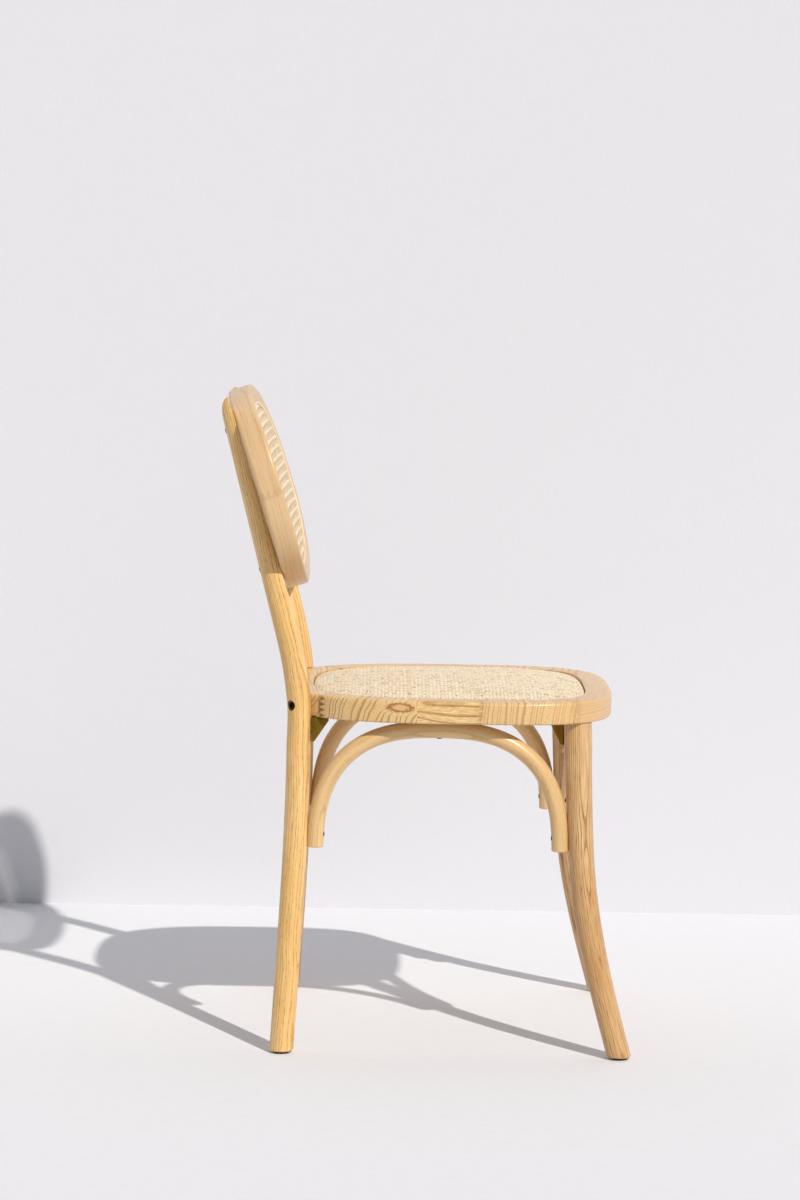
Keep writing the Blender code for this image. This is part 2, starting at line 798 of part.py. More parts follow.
def make_back_spline():
    low, high = GROOVE_INSET + GAP, GROOVE_INSET + GROOVE_WIDTH - GAP
    middle = (low + high) / 2
    profile = ((low, GROOVE_DEPTH - GAP), (low, 0), (middle, -SPLINE_PROUD), (high, 0),
               (high, GROOVE_DEPTH - GAP))
    back_sweep("back_spline", profile, BACK_STATIONS, REED)


def cane_hole(centre):
    """Octagonal hole of the open weave."""
    radius = BACK_CANE_HOLE / 2 / math.cos(math.pi / 8)
    return [centre + radius * Vector((math.cos(a), math.sin(a)))
            for a in (math.pi / 8 + i * math.pi / 4 for i in range(8))]


def cane_hole_centres():
    """Square grid of holes that keep clear of the panel's edge."""
    inset = BACK_RIM_WIDTH + BACK_CANE_MARGIN + BACK_CANE_HOLE / 2
    wide, tall = BACK.half_width - inset, BACK_LENGTH / 2 - inset
    columns, rows = int(wide / BACK_CANE_PITCH), int(tall / BACK_CANE_PITCH)
    for row in range(-rows, rows + 1):
        for column in range(-columns, columns + 1):
            centre = Vector((column * BACK_CANE_PITCH, row * BACK_CANE_PITCH))
            if abs(centre.x / wide) ** BACK_POWER + abs(centre.y / tall) ** BACK_POWER <= 1:
                yield centre


def make_back_cane():
    """Open cane as one perforated sheet, laid on the land of the ring and dished with it."""
    edge = BACK.loop(BACK_STATIONS, GROOVE_INSET + GROOVE_WIDTH)
    points = list(edge)
    borders = [(i, (i + 1) % len(edge)) for i in range(len(edge))]
    centres = list(cane_hole_centres())
    for centre in centres:
        first = len(points)
        hole = cane_hole(centre)
        points += hole
        borders += [(first + i, first + (i + 1) % len(hole)) for i in range(len(hole))]
    spots, _, triangles, *_ = delaunay_2d_cdt(points, borders, [], 1, 0)
    solid = []
    for triangle in triangles:
        middle = sum((spots[i] for i in triangle), Vector((0, 0))) / 3
        nearest = min((middle - centre).length for centre in centres)
        if nearest > BACK_CANE_HOLE / 2:
            solid.append(triangle)
    back = BACK_LAND_DEPTH - GAP
    bm = bmesh.new()
    front = [bm.verts.new(back_point(p.x, p.y, back - CANE_THICKNESS)) for p in spots]
    rear = [bm.verts.new(back_point(p.x, p.y, back)) for p in spots]
    sides = {}
    for triangle in solid:
        bm.faces.new([front[i] for i in triangle])
        bm.faces.new([rear[i] for i in reversed(triangle)])
        for first, second in zip(triangle, triangle[1:] + triangle[:1]):
            if (second, first) in sides:
                del sides[second, first]
            else:
                sides[first, second] = True
    for first, second in sides:
        bm.faces.new((front[second], front[first], rear[first], rear[second]))
    return add_mesh("back_cane", bm, CANE)


def post_flat_cutter():
    """What is planed off the front of both posts: everything ahead of the ring's rear face."""
    rings = []
    tall = BACK_LENGTH / 2
    reach = BACK_THICKNESS * 2
    for i in range(POST_FLAT_STEPS + 1):
        across = BACK.half_width * (2 * i / POST_FLAT_STEPS - 1)
        rings.append([back_point(across, -tall - GAP, -reach),
                      back_point(across, -tall - GAP, BACK_THICKNESS + GAP),
                      back_point(across, tall + POST_TOP_ROUND, BACK_THICKNESS + GAP),
                      back_point(across, tall + POST_TOP_ROUND, -reach)])
    return loft("cut_post_flats", rings)


def seat_housing_cutter():
    """The seat ring's outer form, larger by the gap, that notches the rear legs."""
    outline = [Vector((*point, 0)) for point in SEAT.loop(SEAT_STATIONS, -GAP)]
    return prism("cut_leg_housings", outline, UP * (SEAT_UNDERSIDE - GAP), UP * (SEAT_HEIGHT + GAP))


# Fasteners
def fastener(name, seat, direction, length, hosts, head, finish):
    """Headed fastener whose head sits at the seat point, with its bore cut in every host."""
    radius, head_radius, head_height, pocket_radius = head
    turned(name, seat, direction,
           ((-head_height, head_radius * HEAD_TOP_SHARE), (0, head_radius), (0, radius),
            (length, radius * TIP_SHARE)), SCREW_SIDES, finish)
    cutter = turned("bore_" + name, seat, direction,
                    ((-head_height - pocket_radius * 4, pocket_radius), (GAP, pocket_radius),
                     (GAP, radius + GAP), (length + GAP, radius + GAP)), SCREW_SIDES)
    for host in hosts:
        carve(host, cutter)


def screw(name, seat, direction, length, hosts):
    head = (SCREW_RADIUS, SCREW_HEAD_RADIUS, SCREW_HEAD_HEIGHT, SCREW_HEAD_RADIUS + GAP)
    fastener(name, seat, direction, length, hosts, head, BLACK_STEEL)


def fasten_arches(arches, end_screws, legs, ring):
    for word, arch, leg, point, outward in end_screws:
        seat = point - outward * (ARCH_RADIUS - SCREW_RECESS)
        length = 2 * ARCH_RADIUS - SCREW_RECESS - ARCH_BITE + SCREW_BITE
        place = leg[0] if word in ("left", "right") else ("right" if leg[1] < 0 else "left")
        screw(f"arch_{word}_screw_{place}", seat, outward, length, (arch, legs[leg]))
    for word, (arch, path, _, _) in arches.items():
        apex = path[len(path) // 2]
        seat = apex - UP * (ARCH_RADIUS - SCREW_RECESS)
        length = 2 * ARCH_RADIUS - SCREW_RECESS + SCREW_BITE
        screw(f"arch_{word}_screw_top", seat, UP, length, (arch, ring))


def bolt_rear_legs(legs, ring):
    lines = rear_leg_lines()
    for word, side in SIDES:
        outward = Vector((side * math.cos(BOLT_ANGLE), math.sin(BOLT_ANGLE), 0))
        depth = REAR_LEG_RADIUS - BOLT_HEAD_HEIGHT - SCREW_RECESS
        seat = leg_point(lines, SEAT_MIDDLE, side) + outward * depth
        length = depth + REAR_LEG_RADIUS - LEG_HOUSING_DEPTH + BOLT_BITE
        head = (BOLT_RADIUS, BOLT_HEAD_RADIUS, BOLT_HEAD_HEIGHT, BOLT_COUNTERBORE)
        fastener("rear_leg_bolt_" + word, seat, -outward, length, (legs["rear", side], ring), head,
                 BLACK_STEEL)


def screw_back_ring(legs, ring):
    """Two screws through each post into the ring, where the post crosses its upper and lower rim."""
    lines = rear_leg_lines()
    reach = ring_edge_at_post() - BACK_RIM_WIDTH / 2
    for word, side in SIDES:
        for level, rise in (("upper", reach), ("lower", -reach)):
            face = back_point(side * post_top_x(), rise, BACK_THICKNESS)
            centre = leg_point(lines, face.z, side)
            face.x = centre.x
            behind = (centre - face).dot(back_normal()) + REAR_LEG_RADIUS - SCREW_RECESS
            seat = face + back_normal() * behind
            screw(f"back_screw_{level}_{word}", seat, -back_normal(), behind + SCREW_BITE,
                  (legs["rear", side], ring))


def bracket(name, lines, radius, away, side, legs, leg, ring):
    """Folded steel angle with a web on its outer side, under the seat beside a leg."""
    top = leg_point(lines, SEAT_UNDERSIDE - GAP, side)
    down = -leg_direction(lines, SEAT_UNDERSIDE, side)
    away = away.normalized()
    wide = away.cross(UP).normalized()
    if wide.x * side > 0:
        wide = -wide
    corner = top + away * (radius + GAP) - wide * BRACKET_WIDTH / 2
    sheet, reach, drop, over = BRACKET_SHEET, BRACKET_REACH, BRACKET_DROP, CUT_OVERRUN

    def section(points, start, end):
        outline = [corner + away * out + down * low for out, low in points]
        return outline, wide * start, wide * end

    web = ((0, 0), (reach, 0), (reach, 2 * sheet), (2 * sheet, drop), (0, drop))
    body = prism(name, *section(web, 0, BRACKET_WIDTH), YELLOW_ZINC)
    pocket = ((sheet, sheet), (reach + over, sheet), (reach + over, drop + over),
              (sheet, drop + over))
    carve(body, prism("pocket_" + name, *section(pocket, sheet, BRACKET_WIDTH + over)))
    centre_line = wide * (BRACKET_WIDTH + sheet) / 2
    under = corner + centre_line + away * (reach * BRACKET_SCREW_REACH_SHARE + sheet / 2) + down * sheet
    screw(name + "_screw_up", under, UP, SCREW_BITE + sheet, (body, ring))
    beside = corner + centre_line + away * sheet + down * drop * BRACKET_SCREW_DROP_SHARE
    screw(name + "_screw_leg", beside, -away, SCREW_BITE + sheet, (body, legs[leg]))


def make_brackets(legs, ring):
    for word, side in SIDES:
        bracket("bracket_rear_" + word, rear_leg_lines(), REAR_LEG_RADIUS, Vector((0, -1, 0)), side,
                legs, ("rear", side), ring)
        _, normal = front_contact()
        inward = -mirrored(Vector((*normal, 0)), side)
        bracket("bracket_front_" + word, front_leg_lines(), FRONT_LEG_TOP_RADIUS, inward, side,
                legs, ("front", side), ring)


def make_glides(legs):
    """Round glides whose pins go up into the feet."""
    for place, lines in (("rear", rear_leg_lines()), ("front", front_leg_lines())):
        for word, side in SIDES:
            foot = leg_point(lines, 0, side)
            top = GLIDE_HEIGHT + GLIDE_PIN_LENGTH
            turned(f"glide_{place}_{word}", foot, UP,
                   ((0, GLIDE_RADIUS - GLIDE_CHAMFER), (GLIDE_CHAMFER, GLIDE_RADIUS),
                    (GLIDE_HEIGHT, GLIDE_RADIUS), (GLIDE_HEIGHT, GLIDE_PIN_RADIUS),
                    (top, GLIDE_PIN_RADIUS)), GLIDE_SIDES, GLIDE_PLASTIC)
            bore = turned(f"bore_glide_{place}_{word}", foot, UP,
                          ((0, GLIDE_PIN_RADIUS + GAP), (top + GAP, GLIDE_PIN_RADIUS + GAP)),
                          GLIDE_SIDES)
            carve(legs[place, side], bore)


def carry_on_empty():
    """Parent the whole chair to an empty that stands its outline's middle over the origin."""
    bpy.context.view_layer.update()
    pieces = list(bpy.context.scene.objects)
    corners = [piece.matrix_world @ Vector(corner) for piece in pieces if not piece.hide_render
               for corner in piece.bound_box]
    middle = (min(c.y for c in corners) + max(c.y for c in corners)) / 2
    holder = bpy.data.objects.new("chair", None)
    bpy.context.scene.collection.objects.link(holder)
    for piece in pieces:
        piece.parent = holder
    holder.location.y = -middle
    print("pieces:", len([p for p in pieces if not p.hide_render]), "moved forward by", middle)


def build():
    clear_scene()
    legs = make_legs()
    fits = leg_cutters()
    seat_ring = make_seat_ring()
    back_ring = back_sweep("back_ring", back_profile(), BACK_STATIONS, ASH_PALE)
    arches, end_screws = make_arches(fits)

    housing = seat_housing_cutter()
    flats = post_flat_cutter()
    for word, side in SIDES:
        carve(legs["rear", side], housing)
        carve(legs["rear", side], flats)
        centre = tenon_centre(side)
        mortise = turned("mortise_" + word, centre, UP,
                         ((-CUT_OVERRUN, TENON_RADIUS + GAP), (TENON_LENGTH + GAP, TENON_RADIUS + GAP)),
                         LEG_SIDES)
        carve(seat_ring, mortise)
    bolt_rear_legs(legs, seat_ring)
    fasten_arches(arches, end_screws, legs, seat_ring)
    make_brackets(legs, seat_ring)
    screw_back_ring(legs, back_ring)
    make_glides(legs)

    for cut in seat_saw_cuts():
        carve(seat_ring, cut)
    split(baked(seat_ring), seat_rail_name, ASH)
    for cut in back_saw_cuts():
        carve(back_ring, cut)
    split(baked(back_ring),
          lambda middle: "back_rail_" + ("upper" if middle.z > back_centre_height() else "lower"),
          ASH_PALE)

    make_seat_panel()
    make_back_spline()
    make_back_cane()
    carry_on_empty()


build()
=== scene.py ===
# %% [markdown]
# A small dining chair of lacquered ash, with a caned seat and a caned back. Its rear legs are single
# bent bars that run from the floor to the top of the back, its seat is a ring of finger jointed
# boards, and four bent arches brace the legs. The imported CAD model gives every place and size. Here
# each piece is made again with the detail that an eye looks for, and stands where its node stands.

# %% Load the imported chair
import math
import bmesh
import bpy
import numpy as np
from mathutils import Matrix, Vector


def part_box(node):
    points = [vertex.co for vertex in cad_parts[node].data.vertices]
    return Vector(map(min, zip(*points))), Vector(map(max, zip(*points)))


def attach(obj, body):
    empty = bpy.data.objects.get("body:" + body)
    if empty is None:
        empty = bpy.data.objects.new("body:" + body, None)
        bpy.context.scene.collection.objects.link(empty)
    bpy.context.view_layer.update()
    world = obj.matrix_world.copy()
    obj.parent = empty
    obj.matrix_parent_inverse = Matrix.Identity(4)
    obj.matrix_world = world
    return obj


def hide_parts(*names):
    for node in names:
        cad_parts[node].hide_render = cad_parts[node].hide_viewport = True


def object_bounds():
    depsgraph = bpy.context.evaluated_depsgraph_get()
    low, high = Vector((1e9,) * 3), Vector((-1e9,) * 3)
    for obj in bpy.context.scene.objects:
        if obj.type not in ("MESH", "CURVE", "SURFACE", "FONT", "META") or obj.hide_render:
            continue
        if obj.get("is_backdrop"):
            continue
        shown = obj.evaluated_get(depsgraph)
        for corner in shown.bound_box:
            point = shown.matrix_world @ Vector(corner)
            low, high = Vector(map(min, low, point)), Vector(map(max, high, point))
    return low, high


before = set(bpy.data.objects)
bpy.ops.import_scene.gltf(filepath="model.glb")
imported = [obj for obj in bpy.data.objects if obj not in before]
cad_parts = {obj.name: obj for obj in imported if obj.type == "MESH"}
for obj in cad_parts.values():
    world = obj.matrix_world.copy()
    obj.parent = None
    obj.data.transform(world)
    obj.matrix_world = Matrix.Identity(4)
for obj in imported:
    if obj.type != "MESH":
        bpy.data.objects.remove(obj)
cad_low, cad_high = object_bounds()
print("packed chair", [round(v * 1000) for v in cad_high - cad_low], "mm,", len(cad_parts), "nodes")

# %% [markdown]
# Colours are written as they look on a screen and turned to linear light by one function. One small
# function adds a node, so that a finish reads as a list of what feeds what. A map range takes a
# value, the range it comes from and the range it goes to. A mix lays its input 7 over its input 6.


# %% Colour and node helpers
def linear(hex_colour):
    channels = [int(hex_colour[i:i + 2], 16) / 255 for i in (1, 3, 5)]
    return (*[c / 12.92 if c <= 0.04045 else ((c + 0.055) / 1.055) ** 2.4 for c in channels], 1)


def add(tree, kind, feeds, out=0, **settings):
    """Add a node; feeds gives its inputs by place or by name, as values or other nodes' outputs."""
    made = tree.nodes.new("ShaderNode" + kind)
    for key, value in settings.items():
        setattr(made, key, value)
    for key, value in feeds.items() if isinstance(feeds, dict) else enumerate(feeds):
        if isinstance(value, bpy.types.NodeSocket):
            tree.links.new(value, made.inputs[key])
        else:
            made.inputs[key].default_value = value
    return made.outputs[out]


def start_finish(name, **sockets):
    """A new material whose shader gets its even values on its own sockets."""
    material = bpy.data.materials.new(name)
    material.use_nodes = True
    for key, value in sockets.items():
        shader_input(material, key).default_value = value
    return material, material.node_tree


def shader_input(material, word):
    return material.node_tree.nodes["Principled BSDF"].inputs[word.replace("_", " ")]


def finished(material, **feeds):
    """The material, with what varies over its surface linked into its shader."""
    for key, value in feeds.items():
        material.node_tree.links.new(value, shader_input(material, key))
    return material


def tinted(tree, base, layers):
    """A base colour with others laid over it, each by its own share."""
    colour = linear(base)
    for share, tint in layers:
        colour = add(tree, "Mix", {0: share, 6: colour, 7: linear(tint)}, 2, data_type="RGBA")
    return colour


# %% [markdown]
# The chair was drawn with Y counted from the widest line of the seat, and then moved so that the
# origin lies under its middle. The pieces here are drawn in the same way, and one shift places them.

# %% Sizes of the seat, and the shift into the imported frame
SEAT_HEIGHT = 0.457
SEAT_THICKNESS = 0.029
SEAT_WIDTH = 0.429
SEAT_FRONT_REACH, SEAT_REAR_REACH = 0.1935, 0.234
SEAT_FRONT_POWER, SEAT_REAR_POWER = 3.4, 3.0
SEAT_RAIL_WIDTH, SEAT_RIM_WIDTH, SEAT_REBATE_DEPTH = 0.060, 0.0345, 0.014
SEAT_UNDERSIDE = SEAT_HEIGHT - SEAT_THICKNESS
SEAT_MIDDLE = SEAT_HEIGHT - SEAT_THICKNESS / 2
GAP = 0.0003
OVERRUN = 0.004
UP = Vector((0, 0, 1))
SIDES = (("right", -1), ("left", 1))
WORD_OF = {side: word for word, side in SIDES}
SHIFT = np.array((0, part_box("seat_rail_front")[0].y + SEAT_FRONT_REACH, 0))
print("shift into the packed frame", round(SHIFT[1] * 1000, 2), "mm")


# %% Mesh helpers
SHARP_EDGE = math.radians(33)


def smooth_over(piece):
    piece.data.shade_smooth()
    piece.data.set_sharp_from_angle(angle=SHARP_EDGE)


def make_piece(name, points, faces, finish=None):
    """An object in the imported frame; without a finish it is a hidden cutter."""
    mesh = bpy.data.meshes.new(name)
    mesh.from_pydata((np.asarray(points, float) + SHIFT).tolist(), [], faces)
    bm = bmesh.new()
    bm.from_mesh(mesh)
    bmesh.ops.recalc_face_normals(bm, faces=bm.faces)
    bm.to_mesh(mesh)
    bm.free()
    piece = bpy.data.objects.new(name, mesh)
    bpy.context.scene.collection.objects.link(piece)
    if finish:
        mesh.materials.append(finish)
        smooth_over(piece)
    else:
        piece.hide_render = True
    return piece


def skin(rings, endless=False):
    """Points and faces of a skin over rings of equal count, with flat ends unless it is endless."""
    rings = np.asarray(rings, float)
    count, around = rings.shape[:2]
    step = np.arange(count if endless else count - 1)[:, None]
    place = np.arange(around)[None, :]
    after, beside = (step + 1) % count, (place + 1) % around
    quads = np.stack([step * around + place, step * around + beside,
                      after * around + beside, after * around + place], -1)
    faces = quads.reshape(-1, 4).tolist()
    if not endless:
        faces += [list(range(around))[::-1], list(range((count - 1) * around, count * around))]
    return rings.reshape(-1, 3), faces


def loft(name, rings, finish=None, endless=False):
    return make_piece(name, *skin(rings, endless), finish)


def circle(sides):
    turns = [math.tau * i / sides for i in range(sides)]
    return [(math.cos(t), math.sin(t)) for t in turns]


def turned(name, origin, axis, profile, sides, finish=None):
    """A turned solid; the profile is (distance along the axis, radius)."""
    axis = axis.normalized()
    across = axis.orthogonal().normalized()
    other = axis.cross(across)
    rings = [[origin + axis * along + radius * (across * c + other * s) for c, s in circle(sides)]
             for along, radius in profile]
    return loft(name, rings, finish)


def carve(piece, cutter):
    cut = piece.modifiers.new(cutter.name, "BOOLEAN")
    cut.operation = "DIFFERENCE"
    cut.solver = "EXACT"
    cut.object = cutter


def bake(piece):
    """Put what the modifiers make into the piece's own mesh."""
    graph = bpy.context.evaluated_depsgraph_get()
    mesh = bpy.data.meshes.new_from_object(piece.evaluated_get(graph))
    piece.modifiers.clear()
    piece.data = mesh
    smooth_over(piece)
    return piece


def take_place(piece, node):
    """Let a piece stand for its CAD node."""
    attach(piece, "root")
    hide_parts(node)


# %% [markdown]
# The seat and the back have the same kind of outline: a rounded square whose sides are fuller than
# an ellipse. It is a superellipse, so one power says how square it is, and the seat's front half is
# squarer than its rear half. Everything that follows an edge reads its points from here.

# %% Outlines
OUTLINE_SAMPLES = 3600


def signed_power(value, power):
    return math.copysign(abs(value) ** power, value)


def even_loop(curve, count):
    """Points spaced evenly along a closed curve given as a function of an angle."""
    dense = np.array([curve(i * math.tau / OUTLINE_SAMPLES) for i in range(OUTLINE_SAMPLES + 1)])
    lengths = np.concatenate([[0], np.cumsum(np.linalg.norm(np.diff(dense, axis=0), axis=1))])
    targets = lengths[-1] * np.arange(count) / count
    return [Vector((np.interp(t, lengths, dense[:, 0]), np.interp(t, lengths, dense[:, 1])))
            for t in targets]


class Outline:
    def __init__(self, half_width, front, rear, front_power, rear_power):
        self.half_width = half_width
        self.halves = {-1: (front, front_power), 1: (rear, rear_power)}

    def half(self, value):
        return self.halves[-1 if value < 0 else 1]

    def point(self, angle):
        reach, power = self.half(math.sin(angle))
        return Vector((self.half_width * signed_power(math.cos(angle), 2 / power),
                       reach * signed_power(math.sin(angle), 2 / power)))

    def normal(self, point):
        reach, power = self.half(point.y)
        return Vector((signed_power(point.x / self.half_width, power - 1) / self.half_width,
                       signed_power(point.y / reach, power - 1) / reach)).normalized()

    def loop(self, count, inset=0):
        return [p - self.normal(p) * inset for p in even_loop(self.point, count)]

    def side_point(self, reach_share):
        reach, power = self.half(reach_share)
        return Vector((self.half_width * (1 - abs(reach_share) ** power) ** (1 / power),
                       reach * reach_share))


BACK_WIDTH, BACK_LENGTH, BACK_POWER = 0.430, 0.270, 2.5
SEAT = Outline(SEAT_WIDTH / 2, SEAT_FRONT_REACH, SEAT_REAR_REACH, SEAT_FRONT_POWER, SEAT_REAR_POWER)
BACK = Outline(BACK_WIDTH / 2, BACK_LENGTH / 2, BACK_LENGTH / 2, BACK_POWER, BACK_POWER)
edge = SEAT.loop(OUTLINE_SAMPLES // 5)
print("seat edge", round(sum((b - a).length for a, b in zip(edge, edge[1:])), 3), "m")

# %% [markdown]
# Grain is what tells wood from paint. A board keeps the pattern that the tree had: rings round a
# pith, cut through by the faces. So each piece stores, on every face corner, where that corner lies
# in its blank, across and along the fibres. A bent bar's fibres follow the bend, while a sawn board's
# run straight through its curved edge, which is why the seat shows stripes and end grain.


# %% Where each corner lies in its blank
def read(items, word, width=1, kind=float):
    """One row of numbers for each item of a mesh."""
    values = np.empty(len(items) * width, kind)
    items.foreach_get(word, values)
    return values.reshape(-1, width)


def corner_spots(mesh):
    """Place of every face corner, and of the middle of its face, before the shift."""
    owner = read(mesh.loops, "vertex_index", kind=int)[:, 0]
    counts = read(mesh.polygons, "loop_total", kind=int)[:, 0]
    spots = read(mesh.vertices, "co", 3) - SHIFT
    return spots[owner], np.repeat(read(mesh.polygons, "center", 3) - SHIFT, counts, axis=0)


def store(piece, name, values, domain):
    """Keep numbers or vectors on the corners or points, for a finish to read."""
    values = np.asarray(values, np.float32)
    kind, word = ("FLOAT", "value") if values.ndim == 1 else ("FLOAT_VECTOR", "vector")
    piece.data.attributes.new(name, kind, domain).data.foreach_set(word, values.ravel())


def lay_grain(piece, run, pith=(0, 0, 0)):
    """Store the blank's measures on the corners; pith says how far off the tree's middle lies."""
    store(piece, "grain", run(*corner_spots(piece.data)) + pith, "CORNER")


def lay_shade(piece, share_of):
    """Store how dark the end grain of a joint is, from 0 to 1."""
    store(piece, "joint", share_of(corner_spots(piece.data)[0]), "CORNER")


NEAREST_BATCH = 2000


def along_path(path, across):
    """Grain that follows a path; across is square to the plane of the bend."""
    path = np.array([tuple(p) for p in path])
    along = np.gradient(path, axis=0)
    along /= np.linalg.norm(along, axis=1, keepdims=True)
    other = np.cross(along, across)
    other /= np.linalg.norm(other, axis=1, keepdims=True)
    flat = np.cross(other, along)
    steps = np.linalg.norm(np.diff(path, axis=0), axis=1)
    lengths = np.concatenate([[0], np.cumsum(steps)])

    def run(spots, middles):
        batches = np.array_split(spots, 1 + len(spots) // NEAREST_BATCH)
        near = np.concatenate([np.argmin(((batch[:, None] - path[None]) ** 2).sum(-1), axis=1)
                               for batch in batches])
        reach = spots - path[near]
        parts = [(reach * axis[near]).sum(1) for axis in (other, flat, along)]
        return np.stack([parts[0], parts[1], lengths[near] + parts[2]], 1)
    return run


# %% [markdown]
# Ash is ring porous: each year starts with a band of wide pores, which a saw cuts into short dark
# dashes, and ends in smooth pale wood. Under a thin clear satin lacquer it is golden and a little
# glossy. The rings are worked out as the distance from the pith, so faces cut along them show
# cathedral arches, faces cut across them show straight lines, and ends show arcs. Real pores are
# 0.2 mm wide. They are drawn about 0.6 mm wide, because finer ones vanish at this distance. One board
# has a knot, whose heart is a little pinker than the wood and whose bark is orange brown.

# %% Year rings
WANDER_LENGTH, WANDER_REACH, YEAR_CHANGE, YEAR_SHIFT = 0.045, 0.018, 0.35, 2.6
KNOT_PUSH, KNOT_PUSH_REACH, KNOT_PLAIN, KNOT_PLAIN_REACH = 0.010, 2.2, 0.1, 1.25
SPRING_SHARE, FROST_SHARE = 0.36, 0.9


def knot_distance(tree, grain, centre, size):
    """Distance from a knot's heart, counted in the knot's own size."""
    here = add(tree, "VectorMath", (grain, [1 / s for s in size]), operation="MULTIPLY")
    heart = [c / s for c, s in zip(centre, size)]
    return add(tree, "VectorMath", (here, heart), 1, operation="DISTANCE")


def spring_bands(tree, grain, slow, ring, wander, away):
    """How much spring wood a spot has, from 0 to 1, by its distance from the pith."""
    drifting = add(tree, "TexNoise", {"Vector": slow, "Scale": 1 / WANDER_LENGTH, "Detail": 2.0}, 1)
    reach = WANDER_REACH * wander
    bent = add(tree, "VectorMath", (drifting, (reach, reach, 0), grain), operation="MULTIPLY_ADD")
    bent = add(tree, "VectorMath", (bent, (1, 1, 0)), operation="MULTIPLY")
    age = add(tree, "VectorMath", (bent,), 1, operation="LENGTH")
    if away is not None:
        # A knot pushes the rings aside
        swell = add(tree, "MapRange", (away, 0.0, KNOT_PUSH_REACH, KNOT_PUSH, 0.0),
                    interpolation_type="SMOOTHSTEP")
        age = add(tree, "Math", (age, swell), operation="ADD")
    # Years differ in width
    years = add(tree, "Math", (age, 1 / ring), operation="MULTIPLY")
    uneven = add(tree, "TexNoise", {"W": years, "Scale": YEAR_CHANGE, "Detail": 1.0},
                 noise_dimensions="1D")
    years = add(tree, "Math", (uneven, YEAR_SHIFT, years), operation="MULTIPLY_ADD")
    season = add(tree, "Math", (years,), operation="FRACT")
    spring, frost = [add(tree, "MapRange", (season, start, end, level, 1 - level),
                         interpolation_type="SMOOTHSTEP")
                     for start, end, level in ((0.0, SPRING_SHARE, 1.0), (FROST_SHARE, 1.0, 0.0))]
    band = add(tree, "Math", (spring, frost), operation="MAXIMUM")
    if away is not None:
        # The wood right beside a knot is plain
        plain = add(tree, "MapRange", (away, KNOT_PLAIN_REACH, KNOT_PUSH_REACH, KNOT_PLAIN, 1.0))
        band = add(tree, "Math", (band, plain), operation="MULTIPLY")
    return band


# %% Streaks and knots
KNOT_HEART, KNOT_RIM, KNOT_RAGGED, KNOT_EDGE = "#dcab78", "#9c5a1a", 0.005, 1.45


def streaks(tree, grain, width, length, detail):
    """Noise drawn out along the fibres."""
    drawn = add(tree, "VectorMath", (grain, (1 / width, 1 / width, 1 / length)), operation="MULTIPLY")
    return add(tree, "TexNoise", {"Vector": drawn, "Scale": 1.0, "Detail": detail})


def knot_layers(tree, grain, away):
    """The knot is pinker inside and has an uneven orange brown rim of bark."""
    ragged = add(tree, "TexNoise", {"Vector": grain, "Scale": 1 / KNOT_RAGGED})
    rough = add(tree, "Math", (ragged, 1.1, away), operation="MULTIPLY_ADD")
    heart = add(tree, "MapRange", (rough, 1.0, 1.5, 0.7, 0.0))
    rim = add(tree, "Math", (rough, KNOT_EDGE), operation="SUBTRACT")
    rim = add(tree, "Math", (rim,), operation="ABSOLUTE")
    rim = add(tree, "MapRange", (rim, 0.0, 0.44, 1.0, 0.0))
    return [(heart, KNOT_HEART), (rim, KNOT_RIM)]


# %% Lacquered ash
PORE_WIDTH, FIBRE_WIDTH, FIBRE_LENGTH, PORE_DEPTH = 0.0006, 0.0009, 0.035, 0.00025
LACQUER_IOR, SLOW_SHARE, CLOUDS_PER_METRE = 1.5, 0.28, 14.0
RING_STRENGTH, FIBRE_STRENGTH, PORE_STRENGTH = 0.72, 0.55, 0.8


